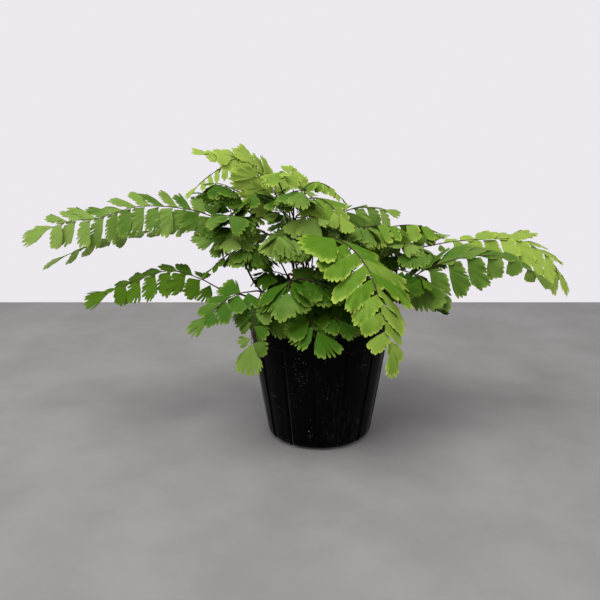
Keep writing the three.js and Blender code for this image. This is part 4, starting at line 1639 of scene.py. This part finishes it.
@dataclass
class Pot:
    """Thin-walled nursery pot: fluted wall, straight collar, rolled lip and drained floor."""

    node: str = "pot"
    rim_radius: float = 45 * MM
    foot_radius: float = 31.5 * MM
    wall_base_radius: float = 34.6 * MM
    chamfer_height: float = 3 * MM
    collar_height: float = 9 * MM
    collar_step: float = 0.4 * MM
    bead_height: float = 1.6 * MM
    bead_step: float = 0.4 * MM
    wall: float = 0.9 * MM
    floor: float = 1.2 * MM
    flutes: int = 14
    flute_turn: float = 7.0
    flute_depth: float = 1.0 * MM
    flute_runout: float = 1.5 * MM
    flute_half_angle: float = 2.2
    flute_columns: int = 22
    flute_lip: float = 0.16
    panel_bow: float = 0.22
    wobble: float = 0.12 * MM
    ripple: float = 0.05 * MM
    outer_rings: int = 15
    inner_rings: int = 9
    drain_holes: int = 7
    drain_radius: float = 3.5 * MM
    drain_circle: float = 20 * MM
    drain_sides: int = 28

    # Corners of the profile as millimetres out and up from a point, with the flutes' share there.
    FOOT_CORNER = ((-1.2, 0.0, 0.3), (-0.2, 0.05, 0.45), (0.5, 0.45, 0.6))
    COLLAR_CORNER = ((-0.4, -0.35, 0.0), (-0.08, 0.0, 0.0), (0.0, 0.35, 0.0))
    BEAD_CORNER = ((-0.4, -0.15, 0.0), (-0.12, 0.05, 0.0), (0.0, 0.35, 0.0))
    LIP_CORNER = ((0.0, -0.4, 0.0), (-0.12, -0.12, 0.0), (-0.45, 0.0, 0.0))
    INNER_CORNER = ((0.15, -0.05, 0.0), (0.0, -0.4, 0.0))

    def build(self, finish: Material) -> Object:
        """Makes the pot and cuts its drain holes.

        Args:
            finish: The material of the pot.

        Returns:
            The finished piece.
        """
        columns = self.flutes * self.flute_columns
        turn = np.arange(columns) * (2 * math.pi / columns)
        groove = self._groove(turn)
        rings = [ring(radius - flute * groove + self._uneven(turn, height), turn, height)
                 for radius, height, flute in self._profile()]
        draft = MeshDraft()
        draft.add(np.concatenate([*rings, [(0, 0, 0), (0, 0, self.floor)]]),
                  capped_faces(len(rings), columns))
        piece = draft.build(self.node, (finish,), crease=38.0)
        self._drill(piece)
        return settle(piece, self.node)

    def _profile(self) -> list[Triple]:
        """Draws the profile, up the outside and down the inside.

        Returns:
            Rings as (radius, height, groove depth).
        """
        height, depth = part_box(self.node)[1].z, self.flute_depth
        collar, bead = height - self.collar_height, height - self.bead_height
        runout = collar - self.flute_runout
        outer_top, inner = self.rim_radius - self.collar_step, self.rim_radius - self.wall
        lip = self.rim_radius + self.bead_step
        slope = (outer_top - self.wall_base_radius) / (collar - self.chamfer_height)
        wall_foot, wall_top = self.chamfer_height * 1.6, runout - 1.2 * MM

        def corner(radius: float, z: float, points: Sequence[Triple]) -> list[Triple]:
            """The rings of one corner round a point."""
            return [(radius + out * MM, z + up * MM, share * depth) for out, up, share in points]

        def straight(inset: float, start: float, end: float, count: int) -> list[Triple]:
            """Rings of the fluted wall between two heights."""
            return [(self.wall_base_radius + slope * (z - self.chamfer_height) - inset, z, depth)
                    for z in np.linspace(start, end, count)]

        chamfer = [(self.foot_radius + (self.wall_base_radius - self.foot_radius) * share,
                    self.chamfer_height * rise, depth * (0.6 + 0.4 * share))
                   for share, rise in ((0.45, 0.34), (0.7, 0.58), (0.88, 0.82), (1.0, 1.1))]
        return [
            *corner(self.foot_radius, 0.0, self.FOOT_CORNER),
            *chamfer,
            *straight(0.0, wall_foot, wall_top, self.outer_rings),
            (outer_top - slope * 1.6 * MM, runout - 0.2 * MM, depth),
            (outer_top - slope * 0.8 * MM, runout + 0.7 * MM, 0.5 * depth),
            *corner(self.rim_radius, collar, self.COLLAR_CORNER),
            *((self.rim_radius, z, 0.0) for z in np.linspace(collar + 1.5 * MM, bead - MM, 4)),
            *corner(lip, bead, self.BEAD_CORNER),
            *corner(lip, height, self.LIP_CORNER),
            *corner(inner, height, self.INNER_CORNER),
            *((inner, z, 0.0) for z in np.linspace(bead - MM, collar + 0.5 * MM, 4)),
            (outer_top - self.wall - slope * 0.8 * MM, runout + 0.7 * MM, 0.5 * depth),
            *straight(self.wall, wall_top, wall_foot, self.inner_rings),
            (self.wall_base_radius - self.wall - 0.4 * MM, self.chamfer_height * 0.9, depth),
            (self.foot_radius, self.floor, 0.5 * depth),
            (self.foot_radius * 0.9, self.floor, 0.0),
        ]

    def _groove(self, turn: np.ndarray) -> np.ndarray:
        """Cuts narrow rounded flutes between slightly bowed panels.

        Args:
            turn: Places round the pot, in radians.

        Returns:
            The share of the flutes' depth at each place.
        """
        pitch = 2 * math.pi / self.flutes
        half = math.radians(self.flute_half_angle)
        off = np.abs((turn - math.radians(self.flute_turn) + pitch / 2) % pitch - pitch / 2)
        groove = 1 - smoothstep(0.15, 1.0, off / half)
        lip = self.flute_lip * np.exp(-((off / half - 1.25) / 0.3) ** 2)
        bow = self.panel_bow * (1 - np.cos(math.pi * (off / (pitch / 2)))) / 2
        return groove - lip + self.panel_bow - bow

    def _uneven(self, turn: np.ndarray, height: float) -> np.ndarray:
        """The slight unevenness of thin moulded plastic, in metres."""
        wave = np.sin(3 * turn + 0.9) + 0.6 * np.sin(5 * turn + 60 * height + 2.1)
        return self.wobble * wave + self.ripple * np.sin(11 * turn + 130 * height)

    def _drill(self, piece: Object) -> None:
        """Cuts the drain holes through the floor.

        Args:
            piece: The pot.
        """
        drill = MeshDraft()
        for hole in range(self.drain_holes):
            turn = hole * 2 * math.pi / self.drain_holes
            x, y = self.drain_circle * math.cos(turn), self.drain_circle * math.sin(turn)
            path = np.array([(x, y, -2 * self.floor), (x, y, 3 * self.floor)])
            drill.add_tube(path, self.drain_radius, self.drain_sides)
        cutter = drill.build("drill", ())
        cut = piece.modifiers.new("drains", "BOOLEAN")
        cut.operation, cut.solver, cut.object = "DIFFERENCE", "EXACT", cutter
        graph = bpy.context.evaluated_depsgraph_get()
        old = piece.data
        piece.data = bpy.data.meshes.new_from_object(piece.evaluated_get(graph))
        piece.modifiers.clear()
        bpy.data.objects.remove(cutter)
        bpy.data.meshes.remove(old)


@dataclass
class PottingMix:
    """Peat and bark mix with a rough crumbly top."""

    node: str = "potting_mix"
    rings: int = 46
    columns: int = 150
    taper: float = 10.5 * MM
    foot_chamfer: tuple[float, float] = (6 * MM, 2.2 * MM)
    edge_band: float = 4 * MM
    crown: float = 1.0 * MM
    relief: float = 0.8 * MM
    ripples: int = 44
    ripple_rates: tuple[float, float] = (150, 1500)
    crumbs: int = 620
    crumb_sizes: tuple[float, float] = (0.35, 0.95)
    crumb_sides: int = 6
    crumb_lift: float = 0.3
    crumb_margin: float = 1.2 * MM
    chip_share: float = 0.12
    chip_growth: float = 1.1

    def build(self, finish: Material) -> list[Object]:
        """Makes the body of the mix and the loose crumbs on it.

        Args:
            finish: The material of the mix.

        Returns:
            The mix and its crumbs.
        """
        rng = seeded(self.node)
        waves = self._waves(rng)
        mix = self._body(waves).build(self.node, (finish,), crease=70.0)
        loose = self._crumbs(rng, waves).build("mix_crumbs", (finish,), crease=40.0)
        return [settle(mix, self.node), settle(loose)]

    def _waves(self, rng: Generator) -> np.ndarray:
        """Draws random ripples for the top.

        Args:
            rng: The piece's random generator.

        Returns:
            The ripples, as rows of (x rate, y rate, phase, height).
        """
        rate = rng.uniform(*self.ripple_rates, self.ripples)
        turn = rng.uniform(0, 2 * math.pi, self.ripples)
        size = self.relief * 0.35 * (200 / rate) ** 0.7
        return np.stack([rate * np.cos(turn), rate * np.sin(turn),
                         rng.uniform(0, 2 * math.pi, self.ripples), size], -1)

    def _surface(self, x: np.ndarray, y: np.ndarray, waves: np.ndarray) -> np.ndarray:
        """Finds the top of the mix.

        Args:
            x: Places across the pot.
            y: Places along it.
            waves: The ripples.

        Returns:
            The height at each place.
        """
        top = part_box(self.node)[1]
        crown = self.crown * np.clip((np.hypot(x, y) / top.x) ** 2, 0, 1)
        bumps = sum(size * np.sin(kx * x + ky * y + phase) for kx, ky, phase, size in waves)
        return top.z - crown - 0.35 * self.relief + bumps

    def _body(self, waves: np.ndarray) -> MeshDraft:
        """Builds the mix from the pot's floor to its rough top.

        Args:
            waves: The ripples of the top.

        Returns:
            The draft of the mix.
        """
        low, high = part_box(self.node)
        edge, foot = high.x, high.x - self.taper
        turn = np.linspace(0, 2 * math.pi, self.columns, endpoint=False)
        inset, rise = self.foot_chamfer
        side = ((foot - inset, low.z), (foot, low.z + rise),
                ((foot + edge) / 2, (low.z + high.z) / 2), (edge, high.z - self.edge_band))
        rings = [ring(radius, turn, z) for radius, z in side]
        for share in np.linspace(1.0, 0.02, self.rings):
            points = ring(edge * share, turn, 0.0)
            points[:, 2] = self._surface(points[:, 0], points[:, 1], waves)
            rings.append(points)
        middle = self._surface(np.zeros(1), np.zeros(1), waves)[0]
        draft = MeshDraft(("tint",))
        draft.add(np.concatenate([*rings, [(0, 0, low.z), (0, 0, middle)]]),
                  capped_faces(len(rings), self.columns))
        return draft

    def _crumbs(self, rng: Generator, waves: np.ndarray) -> MeshDraft:
        """Strews chips of bark and clods of peat on the mix.

        Args:
            rng: The piece's random generator.
            waves: The ripples of the top.

        Returns:
            The draft of the crumbs.
        """
        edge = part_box(self.node)[1].x - self.crumb_margin
        draft = MeshDraft(("tint",))
        for _ in range(self.crumbs):
            radius, turn = edge * math.sqrt(rng.random()), rng.uniform(0, 2 * math.pi)
            x, y = radius * math.cos(turn), radius * math.sin(turn)
            size = rng.uniform(*self.crumb_sizes) * MM
            size *= 1 + self.chip_growth * (rng.random() < self.chip_share)
            z = self._surface(np.array([x]), np.array([y]), waves)[0] + self.crumb_lift * size
            self._add_crumb(draft, np.array((x, y, z)), size, rng)
        return draft

    def _add_crumb(self, draft: MeshDraft, centre: np.ndarray, size: float, rng: Generator) -> None:
        """Adds one uneven crumb.

        Args:
            draft: The draft that it goes into.
            centre: The crumb's middle.
            size: Its radius, about.
            rng: The piece's random generator.
        """
        ball = sphere(np.array((0.9, 2.2)), self.crumb_sides) * (1, 1, -1)
        points = np.concatenate([ball.reshape(-1, 3), [(0, 0, -1), (0, 0, 1)]])
        points *= rng.uniform(0.75, 1.25, (len(points), 1))
        points *= rng.uniform((0.8, 0.6, 0.35), (1.5, 1.1, 0.8))
        spin = np.linalg.qr(rng.normal(size=(3, 3)) * (0.5, 0.5, 1.0))[0]
        spin *= np.sign(np.linalg.det(spin))
        draft.add(centre + size * points @ spin, capped_faces(2, self.crumb_sides),
                  tint=rng.uniform(-1.0, 1.2))


# ---------------- the whole plant


# Leaf branches whose leaflets differ from the plain style.
PINNA_STYLES = {
    "left_pinna_long": LeafletStyle(lobe_depth=0.14, split_chance=0.4, loose=1.4,
        fullness=(1.0, 0.86), raised=(-6.0, 24.0), forward=(-0.2, 0.3), hang=(0.15, 0.0),
        longer=(1.12, 1.2), ages=(0.3, 1.1), growth=(0.84, 1.25)),
    "left_pinna_lower": LeafletStyle(end_width=1.0, fullness=(0.86, 0.94), raised=(18.0, 20.0),
        forward=(-0.1, 0.35), longer=(0.8, 0.9), ages=(0.2, 2.4), growth=(0.2, 1.7)),
    "left_pinna_front": LeafletStyle(longer=(1.3, 1.3), nod=(45.0, 45.0), ages=(0.1, 0.8)),
    "left_pinna_right": LeafletStyle(longer=(1.1, 1.1), nod=(40.0, 40.0), ages=(0.1, 0.8)),
    "back_left_pinna_right": LeafletStyle(longer=(0.8, 0.8)),
    "top_back_pinna_left_inner": LeafletStyle(longer=(0.8, 0.8)),
    "left_pinna_single": LeafletStyle(hang=(0.5, 0.5), longer=(1.7, 1.7)),
    "left_low_pinna_long": LeafletStyle(lobe_depth=0.13, split_chance=0.35, loose=1.4,
        fullness=(0.95, 0.95), raised=(-6.0, 8.0), forward=(-0.2, 0.3), hang=(0.3, 0.0),
        longer=(1.05, 1.05), ages=(0.6, 1.8), growth=(0.82, 1.1)),
    "top_pinna_arching": LeafletStyle(lobe_depth=0.12, split_chance=0.25, loose=1.2, end_width=0.5,
        fullness=(1.15, 1.6), raised=(4.0, 14.0), forward=(0.1, 0.5), longer=(1.35, 1.1),
        ages=(0.6, 1.6), growth=(1.25, 0.48)),
    "top_pinna_drooping": LeafletStyle(lobe_depth=0.14, split_chance=0.5, fullness=(0.7, 0.7),
        longer=(1.2, 1.2), ages=(0.4, 1.4)),
    "top_back_pinna_young": LeafletStyle(raised=(-22.0, -10.0), longer=(1.2, 1.2), ages=(0.3, 1.2)),
    "top_back_pinna_right_light": LeafletStyle(raised=(-14.0, 0.0), hang=(0.0, 0.3),
        longer=(0.95, 1.3)),
    "top_back_pinna_right_front": LeafletStyle(fullness=(1.1, 1.1), longer=(1.25, 1.25),
        nod=(30.0, 20.0)),
    "right_low_pinna_long": LeafletStyle(split_chance=0.15, end_width=0.5, fullness=(1.1, 0.8),
        raised=(12.0, 0.0), forward=(0.3, -0.1), hang=(0.0, 0.55), longer=(1.0, 1.1),
        ages=(0.1, 0.8), growth=(1.14, 0.5)),
    "right_low_pinna_back": LeafletStyle(end_width=0.4, longer=(1.0, 0.95), ages=(0.2, 0.9),
        growth=(1.05, 0.5)),
    "right_pinna_long": LeafletStyle(fullness=(1.15, 0.94), raised=(20.0, -4.0),
        forward=(0.3, -0.1), hang=(0.0, 0.2), longer=(1.3, 1.0), ages=(0.6, 1.8),
        growth=(0.42, 2.1)),
    "right_pinna_front": LeafletStyle(longer=(1.5, 1.5), nod=(25.0, 25.0)),
    "back_right_pinna_top": LeafletStyle(raised=(8.0, 0.0), forward=(0.35, 0.0), hang=(0.0, 0.2),
        longer=(1.2, 1.35)),
    "back_right_pinna_front": LeafletStyle(longer=(1.2, 1.2), nod=(30.0, 30.0)),
    # The front fronds' low ages are painted shade: they darken leaflets that sit under the crown.
    "front_left_pinna_long": LeafletStyle(lobe_depth=0.12, split_chance=0.35, fullness=(1.05, 1.0),
        raised=(0.0, 10.0), longer=(1.0, 1.1), nod=(20.0, 20.0), ages=(-0.6, 0.4)),
    "front_left_pinna_hanging": LeafletStyle(lobe_depth=0.10, split_chance=0.3, longer=(1.0, 1.0),
        ages=(-0.1, 0.8)),
    "front_right_pinna_long": LeafletStyle(split_chance=0.1, end_width=0.65, fullness=(1.1, 0.94),
        raised=(0.0, 4.0), forward=(0.1, 0.0), longer=(1.4, 1.25), nod=(24.0, 32.0),
        ages=(-0.3, 0.8), growth=(1.12, 0.78)),
    "front_right_pinna_left": LeafletStyle(longer=(1.4, 1.4), nod=(30.0, 30.0)),
    "front_right_pinna_front": LeafletStyle(longer=(1.5, 1.5), nod=(40.0, 40.0)),
    "front_pinna_centre": LeafletStyle(split_chance=0.35, longer=(1.25, 1.25), ages=(-0.5, 0.1)),
    "front_pinna_right": LeafletStyle(split_chance=0.35, longer=(1.3, 1.3), ages=(-0.7, -0.1)),
    "front_pinna_low": LeafletStyle(split_chance=0.4, ages=(-0.7, -0.1)),
    "front_pinna_low_right": LeafletStyle(split_chance=0.4, ages=(-0.7, -0.1)),
    "left_thin_pinna_right": LeafletStyle(longer=(1.9, 1.9), ages=(0.5, 1.5)),
    "left_thin_pinna_thin": LeafletStyle(longer=(1.6, 1.6), ages=(0.3, 1.0)),
}

# Small fronds that fill the crown: their course, the length and number of their leaflets, and
# the ages of these from foot to tip. The old tone and the low ages paint shade onto the fronds
# deep inside the crown.
YOUNG, MATURE, OLD = LeafTone
UNDERGROWTH = (
    SmallFrond("inner_front", (-4, -3), (0, -14, 104), (14, -32, 96), OLD, 15, 5),
    SmallFrond("inner_front_right", (5, -3), (12, -12, 99), (30, -28, 90), OLD, 15, 5),
    SmallFrond("inner_front_low", (-2, -4), (2, -18, 98), (10, -40, 88), OLD, 15, 5),
    SmallFrond("inner_centre", (-6, -2), (-6, -10, 106), (-16, -24, 104), OLD, 15, 4),
    SmallFrond("centre_right", (1, -2), (2, -8, 114), (16, -22, 114), MATURE, 16, 5, (0.0, 0.5)),
    SmallFrond("centre_left", (-8, -2), (-4, -8, 112), (-2, -24, 108), MATURE, 15, 4, (0.0, 0.5)),
    SmallFrond("rim_front_left", (-14, -4), (-24, -22, 90), (-34, -44, 80), MATURE, 16),
    SmallFrond("rim_front", (-6, -4), (-4, -20, 92), (-2, -48, 82), MATURE, 16),
    SmallFrond("rim_front_right", (4, -4), (10, -18, 90), (22, -40, 82), OLD, 15),
    SmallFrond("rim_left", (-20, -2), (-34, -12, 90), (-52, -28, 84), MATURE, 14),
    SmallFrond("rim_right", (8, -2), (20, -10, 92), (40, -24, 86), OLD, 14),
    SmallFrond("inner_low_right", (2, -3), (8, -6, 98), (30, -12, 94), OLD, 14, 5),
    SmallFrond("inner_high", (0, -2), (2, -6, 108), (14, -26, 104), OLD, 15),
    SmallFrond("inner_low_left", (-12, -3), (-14, -8, 94), (-30, -20, 92), OLD, 14),
    SmallFrond("inner_left_high", (-16, 0), (-22, 2, 105), (-42, -14, 108), OLD, 15),
    SmallFrond("inner_back", (-4, 6), (0, 16, 100), (14, 34, 96), OLD, 15, 5),
    SmallFrond("inner_back_left", (-16, 6), (-22, 18, 98), (-34, 34, 92), OLD, 14, 5),
    SmallFrond("middle_right_low", (8, 2), (26, 4, 104), (50, -4, 98), OLD, 15, 5),
    SmallFrond("middle_right", (8, 4), (34, 14, 114), (62, 14, 112), MATURE, 15, 6),
    SmallFrond("middle_right_high", (6, 5), (24, 16, 122), (52, 26, 124), YOUNG, 15, 6),
    SmallFrond("far_right_low", (9, 3), (40, 12, 98), (66, 12, 84), OLD, 14, 5),
    SmallFrond("far_right_back", (8, 5), (46, 22, 123), (88, 34, 127), MATURE, 14, 6),
    SmallFrond("upper_front", (-6, 2), (-4, 2, 122), (-2, -18, 126), MATURE, 17, 4, (0.3, 0.9)),
    SmallFrond("upper_right", (-2, 4), (4, 12, 128), (24, 8, 136), YOUNG, 16, 5),
    SmallFrond("upper_back", (-8, 7), (-8, 20, 132), (6, 36, 138), OLD, 14, 5),
    SmallFrond("upper_top", (-10, 2), (-24, 0, 155), (-3, -20, 157), MATURE, 17, 4, (0.2, 0.8)),
    SmallFrond("upper_middle", (-10, 2), (-14, -2, 142), (4, -22, 140), MATURE, 17, 4, (0.3, 0.9)),
    SmallFrond("upper_crown", (-8, 4), (-27, 6, 168), (-21, -15, 168), YOUNG, 15, 4, (0.2, 0.9)),
    SmallFrond("left_thin_side", (-18, -1), (-37, -6, 128), (-58, -12, 118), MATURE, 14, 3,
        (0.2, 0.8)),
    SmallFrond("front_high_left", (-9, -2), (-12, -10, 130), (-34, -26, 131), MATURE, 19, 4,
        (0.2, 0.8)),
    SmallFrond("left_high_right", (-54, 8, 134), (-50, 6, 148), (-34, -8, 160), MATURE, 15, 5,
        (-0.3, 0.3)),
    SmallFrond("left_high_left", (-54, 8, 134), (-52, 4, 158), (-72, -6, 163), MATURE, 14, 5,
        (-0.3, 0.3)),
    SmallFrond("left_high_front", (-54, 8, 134), (-52, 0, 142), (-60, -22, 142), MATURE, 17, 4,
        (-0.2, 0.4)),
    SmallFrond("right_high_front", (8, 13, 133), (16, 8, 134), (36, -6, 134), MATURE, 17, 5,
        (0.2, 0.8)),
    SmallFrond("right_high_middle", (8, 13, 133), (24, 10, 134), (58, 4, 132), YOUNG, 17, 6,
        (0.0, 0.6)),
    SmallFrond("right_high_far", (8, 13, 133), (40, 14, 134), (84, 12, 129), YOUNG, 15, 6,
        (0.0, 0.6)),
    SmallFrond("right_side_front", (49, -3, 98), (50, -8, 110), (66, -28, 102), OLD, 17, 4,
        (0.2, 0.8)),
    SmallFrond("right_side_high", (58, 12, 119), (56, 4, 122), (76, -8, 116), MATURE, 16, 4,
        (0.0, 0.6)),
)


@dataclass
class Fern:
    """All fronds on their rootstock."""

    rootstock: Rootstock = field(default_factory=Rootstock)

    def build(self) -> list[Object]:
        """Grows the rootstock, the crozier, the fronds and the undergrowth.

        Returns:
            The finished pieces.
        """
        wood = StalkFinish("polished_stalk").build()
        scales = ScaleFinish("brown_scales", (0.022, 0.011, 0.006), (0.20, 0.105, 0.045)).build()
        fuzz = ScaleFinish("crozier_fuzz", (0.10, 0.055, 0.02), (0.36, 0.21, 0.09)).build()
        leaves = {tone: finish.build() for tone, finish in LEAF_FINISHES.items()}
        slots = {part["node"]: part["material_slot"] for part in frame["record"]["subparts"]}
        made = [self.rootstock.build(scales), Crozier().build(self.rootstock, fuzz)]
        for name, route in STALK_ROUTES.items():
            head = f"{name}_pinna_"
            branches = tuple(sorted(node[len(head):] for node in slots if node.startswith(head)))
            made.append(Stalk(name, route, branches, self.rootstock).build(wood))
            for branch in branches:
                tone = LeafTone(slots[head + branch])
                style = PINNA_STYLES.get(head + branch, LeafletStyle())
                pinna = Pinna(head + branch, f"{name}_stalk", style)
                made.append(pinna.build(leaves[tone], wood, tone))
        for frond in UNDERGROWTH:
            made.append(frond.build(self.rootstock, leaves[frond.tone], wood))
        return made


# ---------------- studio


@dataclass(frozen=True)
class Lamp:
    """One soft square light, aimed at the plant: its place, power in watts and side in metres."""

    name: str
    place: Triple
    power: float
    size: float

    AIM = (0, 0, 0.11)

    def build(self) -> None:
        """Hangs the light."""
        data = bpy.data.lights.new(self.name, "AREA")
        data.energy, data.size = self.power, self.size
        lamp = bpy.data.objects.new(self.name, data)
        lamp.location = self.place
        way = Vector(self.AIM) - Vector(self.place)
        lamp.rotation_euler = way.to_track_quat("-Z", "Y").to_euler()
        bpy.context.scene.collection.objects.link(lamp)


@dataclass(frozen=True)
class Studio:
    """Plain pale floor, soft light from above and a camera level with the plant's front."""

    eye: Triple = (-12.8 * MM, -372 * MM, 172.7 * MM)
    dip: float = 12.7
    lens: float = 35.34
    sensor: float = 36.0
    nearest: float = 0.01
    floor_box: tuple[float, float, float, float] = (-0.62, -0.62, 0.62, 0.382)
    floor_drop: float = 0.2 * MM
    sky: Colour = (0.84, 0.81, 0.86)
    sky_strength: float = 1.0
    lamps: tuple[Lamp, ...] = (Lamp("key", (-0.25, -0.3, 1.0), 13.0, 0.7),
                               Lamp("left", (-0.9, -0.7, 0.6), 5.0, 1.0),
                               Lamp("right", (0.9, -0.7, 0.6), 5.0, 1.0))

    def build(self) -> None:
        """Sets up the floor, the lights, the sky and the camera."""
        self._floor()
        for lamp in self.lamps:
            lamp.build()
        world = bpy.data.worlds.new("studio")
        world.use_nodes = True
        back = world.node_tree.nodes["Background"]
        back.inputs["Color"].default_value = (*self.sky, 1.0)
        back.inputs["Strength"].default_value = self.sky_strength
        bpy.context.scene.world = world
        bpy.context.scene.view_settings.view_transform = "Standard"
        self._camera()

    def _floor(self) -> None:
        """Lays the floor."""
        x0, y0, x1, y1 = self.floor_box
        draft = MeshDraft()
        draft.add(np.array([(x0, y0, 0), (x1, y0, 0), (x1, y1, 0), (x0, y1, 0)]), [[[0, 1, 2, 3]]])
        floor = draft.build("floor", (FloorFinish("pale_floor").build(),))
        floor.location.z = -self.floor_drop

    def _camera(self) -> None:
        """Places the camera."""
        data = bpy.data.cameras.new("camera")
        data.lens, data.sensor_width = self.lens, self.sensor
        data.clip_start = self.nearest
        camera = bpy.data.objects.new("camera", data)
        camera.location = self.eye
        camera.rotation_euler = (math.radians(90.0 - self.dip), 0.0, 0.0)
        bpy.context.scene.collection.objects.link(camera)
        bpy.context.scene.camera = camera


def main() -> None:
    """Builds the studio, the pot, the mix and the fern, and reports each piece."""
    logging.basicConfig(level=logging.INFO, format="%(name)s: %(message)s")
    Studio().build()
    made = [Pot().build(PlasticFinish("black_pot").build())]
    made += PottingMix().build(EarthFinish("moist_mix").build())
    made += Fern().build()
    for piece in made:
        LOG.info("%s: %d faces", piece.name, len(piece.data.polygons))


if __name__ == "__main__":
    main()
